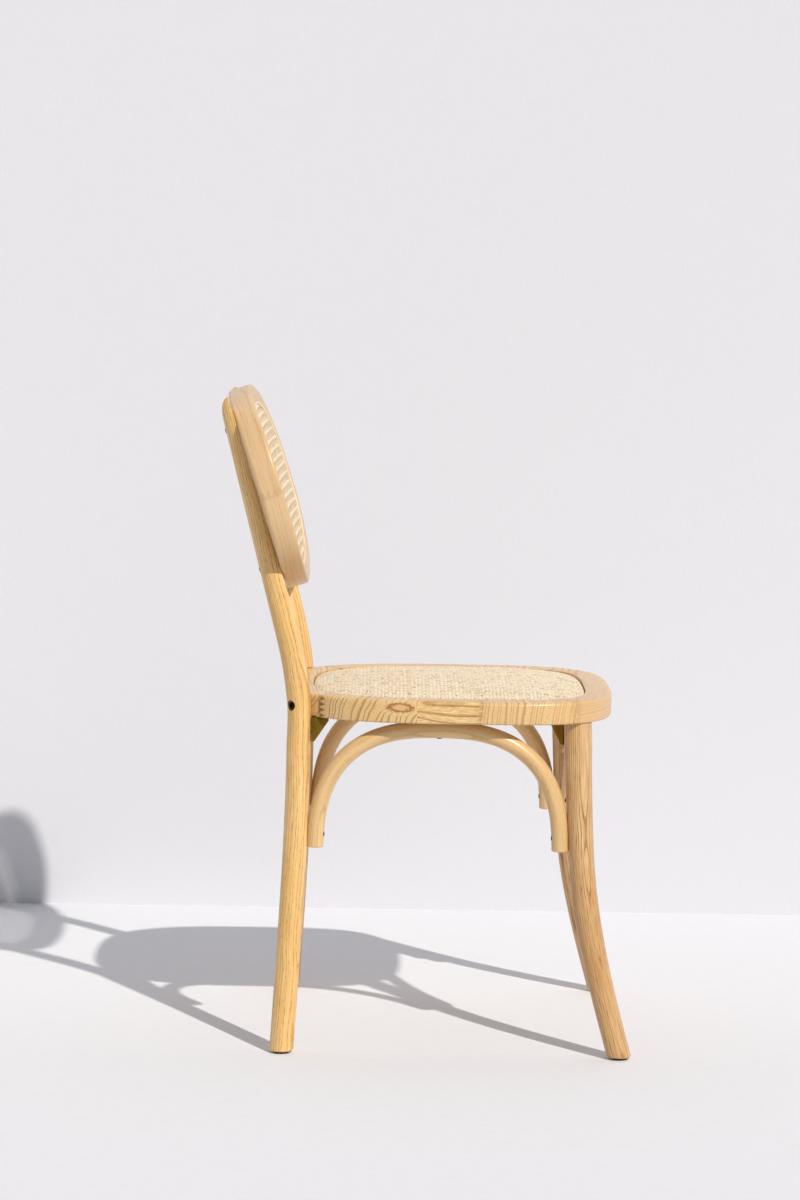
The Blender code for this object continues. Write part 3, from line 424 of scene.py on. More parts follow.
def grained_wood(name, latewood, earlywood, pore, streak, ring, contrast=1.0, wander=1.0,
                 cloud=0.6, pore_length=0.007, knot=None):
    """Wood under satin lacquer; ring is the width of one year's growth in metres."""
    material, tree = start_finish(name, IOR=LACQUER_IOR, Coat_Weight=0.22, Coat_Roughness=0.2)
    grain = add(tree, "Attribute", {}, 1, attribute_name="grain")
    joint = add(tree, "Attribute", {}, 2, attribute_name="joint")
    # Fibres wander slowly along the board, and faster across it
    slow = add(tree, "VectorMath", (grain, (1, 1, SLOW_SHARE)), operation="MULTIPLY")
    away = knot_distance(tree, grain, *knot) if knot else None
    band = spring_bands(tree, grain, slow, ring, wander, away)
    # Pores are short dashes in the spring bands, and a few elsewhere
    dashes = streaks(tree, grain, PORE_WIDTH, pore_length, 1.0)
    dashes = add(tree, "MapRange", (dashes, 0.50, 0.68, 0.0, 1.0))
    share = add(tree, "Math", (band, 0.85, 0.15), operation="MULTIPLY_ADD")
    pores = add(tree, "Math", (dashes, share), operation="MULTIPLY")
    # Fine fibres run along the board, and the tone drifts over a hand's width
    fibres = streaks(tree, grain, FIBRE_WIDTH, FIBRE_LENGTH, 3.0)
    fibre = add(tree, "MapRange", (fibres, 0.35, 0.7, 0.0, FIBRE_STRENGTH * contrast))
    drift = add(tree, "TexNoise", {"Vector": slow, "Scale": CLOUDS_PER_METRE, "Detail": 2.0})
    drift = add(tree, "MapRange", (drift, 0.35, 0.68, 0.0, cloud))
    rings = add(tree, "Math", (band, RING_STRENGTH * contrast), operation="MULTIPLY")
    marks = add(tree, "Math", (pores, PORE_STRENGTH * contrast), operation="MULTIPLY")
    layers = [(rings, earlywood), (drift, streak), (fibre, earlywood), (marks, pore)]
    if knot:
        layers += knot_layers(tree, grain, away)
    # End grain in a finger joint drinks lacquer and turns brown
    layers.append((joint, pore))
    gloss = add(tree, "MapRange", (pores, 0.0, 1.0, 0.38, 0.62))
    relief = add(tree, "Math", (pores, -1.0, fibres), operation="MULTIPLY_ADD")
    bump = add(tree, "Bump", {"Height": relief, "Distance": PORE_DEPTH, "Strength": 0.45})
    return finished(material, Base_Color=tinted(tree, latewood, layers), Roughness=gloss, Normal=bump)


rear_leg_ash = grained_wood("lacquered_ash_rear_legs", "#f9d898", "#c68e44", "#80521f", "#e5b567",
                            0.0042, wander=1.2, cloud=0.8)
# The front legs' finish is darker and browner than the rear legs'. Its close rings and long dark lines
# are grain, and its darker tone is partly painted shade.
front_leg_ash_with_painted_shade = grained_wood("lacquered_ash_front_legs", "#e9c795", "#a9763c", "#63401c", "#cc9d63",
                             0.0025, contrast=1.25, wander=0.5, cloud=0.9, pore_length=0.016)
print("finish", rear_leg_ash.name, len(rear_leg_ash.node_tree.nodes), "nodes")

# %% [markdown]
# The rear legs are the bones of the chair. Each is one round ash bar, steamed and bent backwards just
# above the seat, notched where it houses the seat ring and planed flat where the back is screwed on.
# Level rings along a smooth centre line give the bar, stretched a little so that it stays round where
# it leans, and Booleans take the notch and the flat out of it, as a router and a plane would.

# %% The legs' centre lines
FOOT_HEIGHT = 0.003 + GAP
REAR_LEG_RADIUS = 0.0155
REAR_FOOT_SET_OUT, REAR_FOOT_SET_BACK = 0.0599, 0.0154
REAR_LEG_ANGLE, FRONT_LEG_ANGLE = math.radians(55.7), math.radians(-44.8)
LEG_HOUSING_DEPTH = 0.004
BEND_BELOW, BEND_ABOVE, BEND_SET_BACK, BEND_SET_IN = 0.054, 0.091, 0.016, 0.002
POST_TOP_SET_IN, POST_TOP_RISE, POST_TOP_ROUND, POST_FLAT_DEPTH = 0.0026, 0.015, 0.030, 0.008
REAR_FOOT_RUN, POST_RUN = -0.05, 0.2576
FRONT_TOP_RADIUS, FRONT_KNEE_RADIUS, FRONT_FOOT_RADIUS = 0.018, 0.0165, 0.0152
FRONT_FOOT_SET_OUT, FRONT_FOOT_SET_FORWARD, FRONT_LEG_INSET = 0.059, 0.060, 0.001
FRONT_KNEE_SET_FORWARD, FRONT_KNEE_SHARE = 0.007, 0.60
FRONT_FOOT_RUN, FRONT_KNEE_RUN, FRONT_TOP_RUN = 0.29, 0.06, 0.02
TENON_RADIUS, TENON_LENGTH, FOOT_CHAMFER = 0.011, 0.017, 0.0015
BACK_CLEARANCE, BACK_THICKNESS, BACK_RIM_WIDTH = 0.1335, 0.030, 0.036
BACK_LEAN = math.radians(17.8)


def hermite(stations, height):
    """Smooth value at a height, through stations of (height, value, slope)."""
    height = min(max(height, stations[0][0]), stations[-1][0])
    for (z0, v0, m0), (z1, v1, m1) in zip(stations, stations[1:]):
        if height <= z1:
            break
    span = z1 - z0
    t = (height - z0) / span
    return ((2 * t ** 3 - 3 * t ** 2 + 1) * v0 + (t ** 3 - 2 * t ** 2 + t) * span * m0
            + (3 * t ** 2 - 2 * t ** 3) * v1 + (t ** 3 - t ** 2) * span * m1)


rear_contact = SEAT.point(REAR_LEG_ANGLE)
front_contact = SEAT.point(FRONT_LEG_ANGLE)
rear_centre = rear_contact + SEAT.normal(rear_contact) * (REAR_LEG_RADIUS - LEG_HOUSING_DEPTH)
front_centre = front_contact - SEAT.normal(front_contact) * (FRONT_TOP_RADIUS + FRONT_LEG_INSET)
post_x = rear_centre.x - POST_TOP_SET_IN
back_height = SEAT_HEIGHT + BACK_CLEARANCE + BACK_LENGTH / 2 * math.cos(BACK_LEAN)
ring_at_post = BACK_LENGTH / 2 * (1 - (post_x / BACK.half_width) ** BACK_POWER) ** (1 / BACK_POWER)
post_height = back_height + ring_at_post * math.cos(BACK_LEAN) + POST_TOP_RISE


def rear_leg_lines():
    low, high = SEAT_MIDDLE - BEND_BELOW, SEAT_MIDDLE + BEND_ABOVE
    splay = -REAR_FOOT_SET_OUT / SEAT_MIDDLE
    line_x = ((0, rear_centre.x + REAR_FOOT_SET_OUT, splay),
              (low, rear_centre.x - splay * BEND_BELOW, splay),
              (SEAT_MIDDLE, rear_centre.x, splay / 2),
              (high, rear_centre.x - BEND_SET_IN, 0),
              (post_height, post_x, 0))
    bend_y = rear_centre.y + BEND_SET_BACK
    line_y = ((0, rear_centre.y + REAR_FOOT_SET_BACK, REAR_FOOT_RUN),
              (low, rear_centre.y, 0),
              (SEAT_MIDDLE, rear_centre.y, POST_RUN / 3),
              (high, bend_y, POST_RUN),
              (post_height, bend_y + POST_RUN * (post_height - high), POST_RUN))
    return line_x, line_y


def front_leg_lines():
    splay = -FRONT_FOOT_SET_OUT / SEAT_UNDERSIDE
    line_x = ((0, front_centre.x + FRONT_FOOT_SET_OUT, splay), (SEAT_UNDERSIDE, front_centre.x, splay))
    line_y = ((0, front_centre.y - FRONT_FOOT_SET_FORWARD, FRONT_FOOT_RUN),
              (SEAT_UNDERSIDE * FRONT_KNEE_SHARE, front_centre.y - FRONT_KNEE_SET_FORWARD,
               FRONT_KNEE_RUN),
              (SEAT_UNDERSIDE, front_centre.y, FRONT_TOP_RUN))
    return line_x, line_y


REAR, FRONT = rear_leg_lines(), front_leg_lines()
LEG_LINES = {"rear": REAR, "front": FRONT}
print("post height", round(post_height * 1000, 1), "mm")
print("height of the back's centre", round(back_height * 1000, 1), "mm")

# %% Rings along a leg
LEG_SIDES = 40
REAR_LEG_STEPS, BEND_STEPS, POST_STEPS, FRONT_LEG_STEPS = 34, 22, 26, 48
POST_END_DEGREES = (12, 24, 36, 48, 58, 67, 75, 82, 87)


def leg_point(lines, height, side):
    return Vector((side * hermite(lines[0], height), hermite(lines[1], height), height))


def leg_direction(lines, height, side):
    below = leg_point(lines, height - SEAT_THICKNESS / 2, side)
    return (leg_point(lines, height, side) - below).normalized()


def front_leg_radius(height):
    stations = ((0, FRONT_FOOT_RADIUS, 0), (SEAT_UNDERSIDE * FRONT_KNEE_SHARE, FRONT_KNEE_RADIUS, 0),
                (SEAT_UNDERSIDE, FRONT_TOP_RADIUS, 0))
    return hermite(stations, height)


def leg_ring(lines, height, radius, side):
    centre = leg_point(lines, height, side)
    along = leg_direction(lines, max(height, SEAT_THICKNESS), side)
    wide_x = radius * math.hypot(1, along.x / along.z)
    wide_y = radius * math.hypot(1, along.y / along.z)
    return [centre + Vector((wide_x * c, wide_y * s, 0)) for c, s in circle(LEG_SIDES)]


def rear_leg_rings(side, grow=0):
    radius = REAR_LEG_RADIUS + grow
    shoulder = post_height - POST_TOP_ROUND
    bend_low, bend_top = SEAT_UNDERSIDE - BEND_BELOW, SEAT_MIDDLE + BEND_ABOVE
    heights = [*np.linspace(FOOT_HEIGHT + FOOT_CHAMFER, bend_low, REAR_LEG_STEPS),
               *np.linspace(bend_low, bend_top, BEND_STEPS)[1:],
               *np.linspace(bend_top, shoulder, POST_STEPS)[1:]]
    rings = [leg_ring(REAR, FOOT_HEIGHT, radius - FOOT_CHAMFER, side)]
    rings += [leg_ring(REAR, height, radius, side) for height in heights]
    for angle in map(math.radians, POST_END_DEGREES):
        rings.append(leg_ring(REAR, shoulder + POST_TOP_ROUND * math.sin(angle),
                              radius * math.cos(angle), side))
    return rings


def front_leg_rings(side, grow=0):
    rings = [leg_ring(FRONT, FOOT_HEIGHT, FRONT_FOOT_RADIUS - FOOT_CHAMFER + grow, side)]
    for height in np.linspace(FOOT_HEIGHT + FOOT_CHAMFER, SEAT_UNDERSIDE - GAP, FRONT_LEG_STEPS):
        rings.append(leg_ring(FRONT, height, front_leg_radius(height) + grow, side))
    return rings


def tenoned(rings, centre):
    """The leg's rings with the round tenon that goes up into the seat."""
    for height in (SEAT_UNDERSIDE - GAP, SEAT_UNDERSIDE + TENON_LENGTH):
        rings.append([Vector((centre.x + TENON_RADIUS * c, centre.y + TENON_RADIUS * s, height))
                      for c, s in circle(LEG_SIDES)])
    return rings


# %% Make the legs
legs, leg_fits = {}, {}
for word, side in SIDES:
    legs["rear", side] = loft(f"rear_leg_{word}_ash", rear_leg_rings(side), rear_leg_ash)
    tenon = leg_point(FRONT, SEAT_UNDERSIDE, side)
    legs["front", side] = loft(f"front_leg_{word}_ash", tenoned(front_leg_rings(side), tenon),
                               front_leg_ash_with_painted_shade)
    leg_fits["rear", side] = loft(f"fit_rear_{word}", rear_leg_rings(side, GAP))
    leg_fits["front", side] = loft(f"fit_front_{word}", front_leg_rings(side, GAP))
print("legs", len(legs), "with", len(legs["rear", 1].data.polygons), "faces in a rear one")

# %% [markdown]
# The back leans, and it is dished a little from end to end so that it fits a sitter's shoulders. Its
# own measures are simpler than space: how far across, how far up its slope, how deep behind its
# front face. One function turns those three into a place, and all pieces of the back use it.

# %% The back's own measures
BACK_DISH_RADIUS = 2.5
UP_SLOPE = np.array((0, math.sin(BACK_LEAN), math.cos(BACK_LEAN)))
BACK_NORMAL = np.array((0, math.cos(BACK_LEAN), -math.sin(BACK_LEAN)))


def dish(across):
    return across ** 2 / (2 * BACK_DISH_RADIUS)


post_flat = leg_point(REAR, back_height, 1).y - REAR_LEG_RADIUS + POST_FLAT_DEPTH
BACK_MIDDLE = np.array((0, post_flat - math.cos(BACK_LEAN) * (BACK_THICKNESS - dish(post_x)),
                        back_height))


def back_spots(across, along, depth):
    """Places in space; each measure may be a number or an array."""
    across, along, depth = np.broadcast_arrays(across, along, depth)
    sideways = np.stack([across, np.zeros_like(across), np.zeros_like(across)], -1)
    behind = (depth - dish(across))[..., None]
    return BACK_MIDDLE + sideways + along[..., None] * UP_SLOPE + behind * BACK_NORMAL


def back_point(across, along, depth):
    return Vector(back_spots(float(across), float(along), float(depth)))


# %% Notch and flatten the rear legs
FLAT_STEPS = 24
OUTLINE_STATIONS = 240


def prism(name, outline, start, end, finish=None):
    return loft(name, [[p + move for p in outline] for move in (start, end)], finish)


grown_edge = [Vector((*p, 0)) for p in SEAT.loop(OUTLINE_STATIONS, -GAP)]
housing = prism("leg_housings", grown_edge, UP * (SEAT_UNDERSIDE - GAP), UP * (SEAT_HEIGHT + GAP))
low, high = -BACK_LENGTH / 2 - GAP, BACK_LENGTH / 2 + POST_TOP_ROUND
ahead, behind = -2 * BACK_THICKNESS, BACK_THICKNESS + GAP
flats = []
for i in range(FLAT_STEPS + 1):
    across = BACK.half_width * (2 * i / FLAT_STEPS - 1)
    corners = ((low, ahead), (low, behind), (high, behind), (high, ahead))
    flats.append([back_point(across, along, depth) for along, depth in corners])
post_flats = loft("post_flats", flats)
for word, side in SIDES:
    carve(legs["rear", side], housing)
    carve(legs["rear", side], post_flats)
print("flats of the posts", round(post_flat * 1000, 1), "mm behind the seat's widest line")

# %% [markdown]
# The seat ring is made of boards, because no plank is wide enough and a ring cut from one would
# break across the grain. The boards meet in finger joints, which give long glue lines. Here the
# whole ring is swept first, with its rounded upper edge and the rebate that the panel drops into,
# and then thin zigzag cuts part it into its boards, so every joint fits by itself.

# %% Seat ring
SEAT_TOP_ROUND, SEAT_UNDER_ROUND, RIM_EASE = 0.005, 0.003, 0.0010
ROUND_STEPS = 6
FINGER_LENGTH, SEAT_FINGERS, BACK_FINGERS, GLUE_LINE = 0.010, 4, 4, 0.00018
SEAT_JOINT_SHARES = (0.795, -0.08, -0.72)


def rounded(centre, radius, start_degrees):
    """Points of a quarter round about a centre, turning clockwise."""
    turns = [math.radians(start_degrees - 90 * i / ROUND_STEPS) for i in range(ROUND_STEPS + 1)]
    return [(centre[0] + radius * math.cos(t), centre[1] + radius * math.sin(t)) for t in turns]


def seat_section():
    """Section of the ring as (inset from the edge, height)."""
    low, high, ledge = SEAT_UNDERSIDE, SEAT_HEIGHT, SEAT_HEIGHT - SEAT_REBATE_DEPTH
    top, under, ease = SEAT_TOP_ROUND, SEAT_UNDER_ROUND, RIM_EASE
    rim, wide = SEAT_RIM_WIDTH, SEAT_RAIL_WIDTH
    return [*rounded((top, high - top), top, 180), *rounded((rim - ease, high - ease), ease, 90),
            (rim, ledge), (wide, ledge), *rounded((wide - ease, low + ease), ease, 0),
            *rounded((under, low + under), under, 270)]


def swept(name, outline, count, section, place, finish):
    """A section swept round an outline; place turns two flat measures and a third into a point."""
    rings = []
    for spot in even_loop(outline.point, count):
        inward = -outline.normal(spot)
        rings.append([place(*(spot + inward * inset), level) for inset, level in section])
    return loft(name, rings, finish, endless=True)


def zigzag(low, high, fingers):
    """A line of finger tips and roots from a board's lower face to its upper one."""
    pitch = (high - low) / fingers
    corners = [(FINGER_LENGTH / 2 * (1 if i % 2 else -1), low + pitch * i / 2)
               for i in range(2 * fingers + 1)]
    return [(corners[0][0], low - OVERRUN), *corners, (corners[-1][0], high + OVERRUN)]


def saw_cut(name, line, place):
    half = GLUE_LINE / 2
    outline = [(a + half, b) for a, b in line] + [(a - half, b) for a, b in reversed(line)]
    return loft(name, [[place(a, b, end) for a, b in outline] for end in (0, 1)])


seat_ash = grained_wood("lacquered_ash_seat_boards", "#eccd97", "#c08a48", "#8c5c2c", "#e0b677",
                        0.0066, contrast=1.1)
seat_ring = swept("seat_ring", SEAT, OUTLINE_STATIONS, seat_section(), lambda *spot: spot, seat_ash)
print("seat ring section of", len(seat_section()), "points")

# %% Joints of the seat ring
seat_joints = []
for word, side in SIDES:
    for share in SEAT_JOINT_SHARES:
        spot = SEAT.side_point(share)
        inward = -SEAT.normal(spot)
        along = Vector((-inward.y, inward.x))
        seat_joints.append((Vector((side * spot.x, spot.y)), Vector((side * along.x, along.y))))

        def place(across, height, end):
            depth = SEAT_RAIL_WIDTH + OVERRUN if end else -OVERRUN
            flat = spot + inward * depth + along * across
            return Vector((side * flat.x, flat.y, height))
        carve(seat_ring, saw_cut(f"seat_joint_{word}_{share}",
                                 zigzag(SEAT_UNDERSIDE, SEAT_HEIGHT, SEAT_FINGERS), place))
mortise = ((-OVERRUN, TENON_RADIUS + GAP), (TENON_LENGTH + GAP, TENON_RADIUS + GAP))
for word, side in SIDES:
    tenon = leg_point(FRONT, SEAT_UNDERSIDE, side)
    carve(seat_ring, turned(f"mortise_{word}", tenon, UP, mortise, LEG_SIDES))
print("seat joints", len(seat_joints))

# %% [markdown]
# The arches are bent from thin round ash bars. They stiffen the legs where they would spread, and
# they are what makes the chair look light. Each rises along its legs at its ends, where it is
# hollowed to lie against them, and springs over in a full curve that just touches the seat. Grown
# copies of the legs hollow the ends, so the fit stays tight whatever the leg's lean.

# %% Arches
ARCH_RADIUS, ARCH_DROP, ARCH_POWER, ARCH_BITE, ARCH_SCREW_RISE = 0.011, 0.166, 2.6, 0.001, 0.017
SIDE_ARCH_FLARE_SHARE, CROSS_ARCH_FLARE_SHARE = 0.02, 0.145
APEX_FORWARD = {"rear": 0.004, "front": 0.008}
ARCH_STEPS, ARCH_SIDES, ARCH_CHAMFER = 110, 28, 0.0012
ARCH_END_HEIGHT = SEAT_UNDERSIDE - ARCH_DROP


def arch_path(first, second, flare_share, shift):
    rise = SEAT_UNDERSIDE - GAP - ARCH_RADIUS - ARCH_END_HEIGHT
    middle = (first + second) / 2
    half = (second - first) / 2 / (1 - flare_share * ARCH_SCREW_RISE / rise)
    path = []
    for i in range(ARCH_STEPS + 1):
        angle = math.pi * i / ARCH_STEPS
        up = abs(math.sin(angle)) ** (2 / ARCH_POWER)
        out = signed_power(-math.cos(angle), 2 / ARCH_POWER) * (1 - flare_share * up)
        path.append(middle + half * out + shift * up + UP * rise * up)
    return path


def bent_bar(name, path, across, finish):
    """Round bar along a path, with a small chamfer at both ends."""
    rings = []
    last = len(path) - 1
    for i, point in enumerate(path):
        along = (path[min(i + 1, last)] - path[max(i - 1, 0)]).normalized()
        if i in (0, last):
            along = UP if i == 0 else -UP
        other = along.cross(across).normalized()
        flat = other.cross(along)
        around = [other * c + flat * s for c, s in circle(ARCH_SIDES)]
        if i in (0, last):
            inner = [point + (ARCH_RADIUS - ARCH_CHAMFER) * a for a in around]
            outer = [point + ARCH_RADIUS * a + UP * ARCH_CHAMFER for a in around]
            rings += [inner, outer] if i == 0 else [outer, inner]
        elif point.z > ARCH_END_HEIGHT + 2 * ARCH_CHAMFER:
            rings.append([point + ARCH_RADIUS * a for a in around])
    return loft(name, rings, finish)


# %% Where the arches meet the legs
def arch_ends():
    """Points beside the end screws where each bar touches its leg."""
    screw = ARCH_END_HEIGHT + ARCH_SCREW_RISE
    rear_reach = REAR_LEG_RADIUS + ARCH_RADIUS - ARCH_BITE
    front_reach = front_leg_radius(screw) + ARCH_RADIUS - ARCH_BITE
    ends = {}
    for _, side in SIDES:
        back, fore = leg_point(REAR, screw, side), leg_point(FRONT, screw, side)
        ends["side", side] = (back - Vector((0, rear_reach, 0)), fore + Vector((0, front_reach, 0)))
        ends["rear", side] = back - Vector((side * rear_reach, 0, 0))
        ends["front", side] = fore - Vector((side * front_reach, 0, 0))
    return ends


arch_ash = grained_wood("lacquered_bent_ash_arches", "#e6c48e", "#cba067", "#a67a45", "#d9af75",
                        0.0042, contrast=0.8)
ends = arch_ends()
plans = {word: (*ends["side", side], (("rear", side), ("front", side)), SIDE_ARCH_FLARE_SHARE,
                Vector(), Vector((1, 0, 0))) for word, side in SIDES}
for word, forward in APEX_FORWARD.items():
    plans[word] = (ends[word, -1], ends[word, 1], ((word, -1), (word, 1)), CROSS_ARCH_FLARE_SHARE,
                   Vector((0, -forward, 0)), Vector((0, 1, 0)))
arches = {}
for word, (first, second, at_legs, flare, shift, across) in plans.items():
    path = arch_path(*[Vector((p.x, p.y, ARCH_END_HEIGHT)) for p in (first, second)], flare, shift)
    arch = bent_bar(f"arch_{word}_ash", path, across, arch_ash)
    for leg in at_legs:
        carve(arch, leg_fits[leg])
    arches[word] = (arch, path, across, first, second, at_legs)
print("arches rise to", round(max(p.z for p in path) * 1000, 1), "mm")

# %% [markdown]
# The back ring is made like the seat ring, but in two halves and with a groove in its front face.
# The cane is pressed into that groove and locked there with a strip of reed. Inside the groove the
# face steps back, so the cane lies a little under the rim's front all round.

# %% Back ring
BACK_ROUND, BACK_LAND_DEPTH = 0.004, 0.0018
GROOVE_INSET, GROOVE_WIDTH, GROOVE_DEPTH = 0.0235, 0.005, 0.007
BACK_JOINT_SHARE = 0.015
BACK_STATIONS = 216


def back_section():
    """Section of the back ring as (inset from the edge, depth behind the front face)."""
    wide, deep, ease = BACK_RIM_WIDTH, BACK_THICKNESS, BACK_ROUND
    groove = GROOVE_INSET + GROOVE_WIDTH
    return [*rounded((ease, ease), ease, 270), *rounded((ease, deep - ease), ease, 180),
            *rounded((wide - ease, deep - ease), ease, 90), (wide, BACK_LAND_DEPTH),
            (groove, BACK_LAND_DEPTH), (groove, GROOVE_DEPTH), (GROOVE_INSET, GROOVE_DEPTH),
            (GROOVE_INSET, 0)]


back_ash = grained_wood("lacquered_ash_back_ring", "#e2c395", "#cca06e", "#a27147", "#c89968",
                        0.0040, contrast=0.5, cloud=0.8)
back_ring = swept("back_ring", BACK, BACK_STATIONS, back_section(), back_point, back_ash)
for word, side in SIDES:
    def place(across, depth, end):
        inner = BACK.half_width - BACK_RIM_WIDTH - 2 * OVERRUN
        return back_point(side * (BACK.half_width + OVERRUN if end else inner),
                          BACK_LENGTH / 2 * BACK_JOINT_SHARE + across, depth)
    carve(back_ring, saw_cut(f"back_joint_{word}", zigzag(0, BACK_THICKNESS, BACK_FINGERS), place))
print("back ring section of", len(back_section()), "points")

# %% [markdown]
# Screws and bolts are small, but a chair without them looks like a toy. Blackened screws with a
# crossed recess hold the arches, the brackets and the back, and one bolt with a hexagon socket
# draws each rear leg against the seat. Blackened steel is dark, a little glossy and slightly worn on
# its raised parts. Each fastener also cuts its own hole in what it goes through.

# %% Blackened steel
SCREW_HEAD_RADIUS, SCREW_HEAD_HEIGHT, SCREW_RADIUS = SCREW_SIZES = 0.00375, 0.0022, 0.00175
SCREW_RECESS, SCREW_BITE = 0.0015, 0.011
BOLT_HEAD_RADIUS, BOLT_HEAD_HEIGHT, BOLT_RADIUS = BOLT_SIZES = 0.0055, 0.005, 0.003
BOLT_COUNTERBORE, BOLT_BITE, BOLT_ANGLE = 0.007, 0.027, math.radians(46)
CROSS_WIDTH, CROSS_REACH_SHARE, CROSS_DEPTH_SHARE, SOCKET_REACH_SHARE = 0.0009, 0.62, 0.7, 0.52
FASTENER_SIDES = 24
STEEL_GRIT = 0.0006


def speckled(name, tints, size, depth, strength=0.3, detail=3.0, share=None, gloss=None, **sockets):
    """A finish whose colour, gloss and relief follow one noise; share and gloss are ranges."""
    material, tree = start_finish(name, **sockets)
    spot = add(tree, "TexCoord", {}, 3)
    noise = add(tree, "TexNoise", {"Vector": spot, "Scale": 1 / size, "Detail": detail})
    mixed = add(tree, "MapRange", (noise, *share)) if share else noise
    bump = add(tree, "Bump", {"Height": noise, "Distance": depth, "Strength": strength})
    feeds = {"Base_Color": tinted(tree, tints[0], [(mixed, tints[1])]), "Normal": bump}
    if gloss:
        feeds["Roughness"] = add(tree, "MapRange", (noise, *gloss))
    return finished(material, **feeds)


blackened_steel = speckled("blackened_steel", ("#1d1b1a", "#3b3734"), STEEL_GRIT, STEEL_GRIT / 20,
                           gloss=(0.3, 0.7, 0.34, 0.52), Metallic=1.0)
print("finish", blackened_steel.name, len(blackened_steel.node_tree.nodes), "nodes")


# %% Fasteners
def head_profile(head_radius, head_height, radius, length):
    """A domed head, a shaft and a blunt tip."""
    return ((-head_height, head_radius * 0.5), (-head_height * 0.96, head_radius * 0.68),
            (-head_height * 0.8, head_radius * 0.84), (-head_height * 0.5, head_radius * 0.95),
            (-head_height * 0.15, head_radius), (0, head_radius), (0, radius),
            (length - 2 * radius, radius), (length, radius * 0.5))


def fasten(node, seat, axis, sizes, pocket, recesses, length, hosts):
    """A turned fastener with its recesses, and the hole that it cuts in what it goes through."""
    _, head_height, radius = sizes
    piece = turned(node + "_steel", seat, axis, head_profile(*sizes, length), FASTENER_SIDES,
                   blackened_steel)
    for recess in recesses:
        carve(piece, recess)
    take_place(bake(piece), node)
    hole = ((-head_height - 4 * pocket, pocket), (GAP, pocket), (GAP, radius + GAP),
            (length + GAP, radius + GAP))
    bore = turned("bore_" + node, seat, axis, hole, FASTENER_SIDES)
    for host in hosts:
        carve(host, bore)


def screw(node, seat, axis, length, hosts):
    """Cross recessed screw whose head sits at the seat point."""
    axis = axis.normalized()
    first = axis.orthogonal().normalized()
    reach, half = SCREW_HEAD_RADIUS * CROSS_REACH_SHARE, CROSS_WIDTH / 2
    slots = []
    for wide in (first, axis.cross(first)):
        thin = axis.cross(wide)
        outline = [seat + wide * reach * a + thin * half * b
                   for a, b in ((-1, -1), (1, -1), (1, 1), (-1, 1))]
        slots.append(prism(node + "_slot", outline, -2 * SCREW_HEAD_HEIGHT * axis,
                           -(1 - CROSS_DEPTH_SHARE) * SCREW_HEAD_HEIGHT * axis))
    fasten(node, seat, axis, SCREW_SIZES, SCREW_HEAD_RADIUS + GAP, slots, length, hosts)


def bolt(node, seat, axis, length, hosts):
    """Bolt with a hexagon socket in its head."""
    reach = BOLT_HEAD_RADIUS * SOCKET_REACH_SHARE
    socket = turned(node + "_socket", seat, axis,
                    ((-2 * BOLT_HEAD_HEIGHT, reach), (-BOLT_HEAD_HEIGHT / 3, reach)), 6)
    fasten(node, seat, axis, BOLT_SIZES, BOLT_COUNTERBORE, [socket], length, hosts)


# %% Drive the bolts and screws
for word, side in SIDES:
    outward = Vector((side * math.cos(BOLT_ANGLE), math.sin(BOLT_ANGLE), 0))
    depth = REAR_LEG_RADIUS - BOLT_HEAD_HEIGHT - SCREW_RECESS
    bolt("rear_leg_bolt_" + word, leg_point(REAR, SEAT_MIDDLE, side) + outward * depth, -outward,
         depth + REAR_LEG_RADIUS - LEG_HOUSING_DEPTH + BOLT_BITE, (legs["rear", side], seat_ring))
    for level, rise in (("upper", 1), ("lower", -1)):
        face = back_point(side * post_x, rise * (ring_at_post - BACK_RIM_WIDTH / 2), BACK_THICKNESS)
        centre = leg_point(REAR, face.z, side)
        face.x = centre.x
        rearward = Vector(BACK_NORMAL)
        behind = (centre - face).dot(rearward) + REAR_LEG_RADIUS - SCREW_RECESS
        screw(f"back_screw_{level}_{word}", face + rearward * behind, -rearward, behind + SCREW_BITE,
              (legs["rear", side], back_ring))
for word, (arch, path, _, first, second, at_legs) in arches.items():
    for (row, side), point, other in zip(at_legs, (first, second), (second, first)):
        outward = (point - other).normalized()
        end = WORD_OF[side] if row == word else row
        screw(f"arch_{word}_screw_{end}", point - outward * (ARCH_RADIUS - SCREW_RECESS), outward,
              2 * ARCH_RADIUS - SCREW_RECESS - ARCH_BITE + SCREW_BITE, (arch, legs[row, side]))
    screw(f"arch_{word}_screw_top", path[len(path) // 2] - UP * (ARCH_RADIUS - SCREW_RECESS), UP,
          2 * ARCH_RADIUS - SCREW_RECESS + SCREW_BITE, (arch, seat_ring))
print("bolts and screws driven")

# %% [markdown]
# Under the seat, folded steel brackets tie each leg to the ring. They are plated with zinc and
# passivated, which leaves a brass colour clouded with olive. A bracket is a bent strip with a
# triangular web on one side, so it is a wedge with its inside taken out, and its edges are softened
# as a press leaves them.

# %% Yellow zinc brackets
BRACKET_REACH, BRACKET_DROP, BRACKET_WIDTH, BRACKET_SHEET = 0.022, 0.031, 0.016, 0.002
SCREW_REACH_SHARE, SCREW_DROP_SHARE = 0.6, 0.62
PRESSED_EDGE, ZINC_CLOUD, ZINC_RELIEF = 0.0004, 1 / 90, 0.0002

yellow_zinc = speckled("yellow_passivated_zinc", ("#a27d2b", "#74591a"), ZINC_CLOUD, ZINC_RELIEF,
                       strength=0.25, detail=4.0, gloss=(0.3, 0.7, 0.32, 0.5), Metallic=1.0)


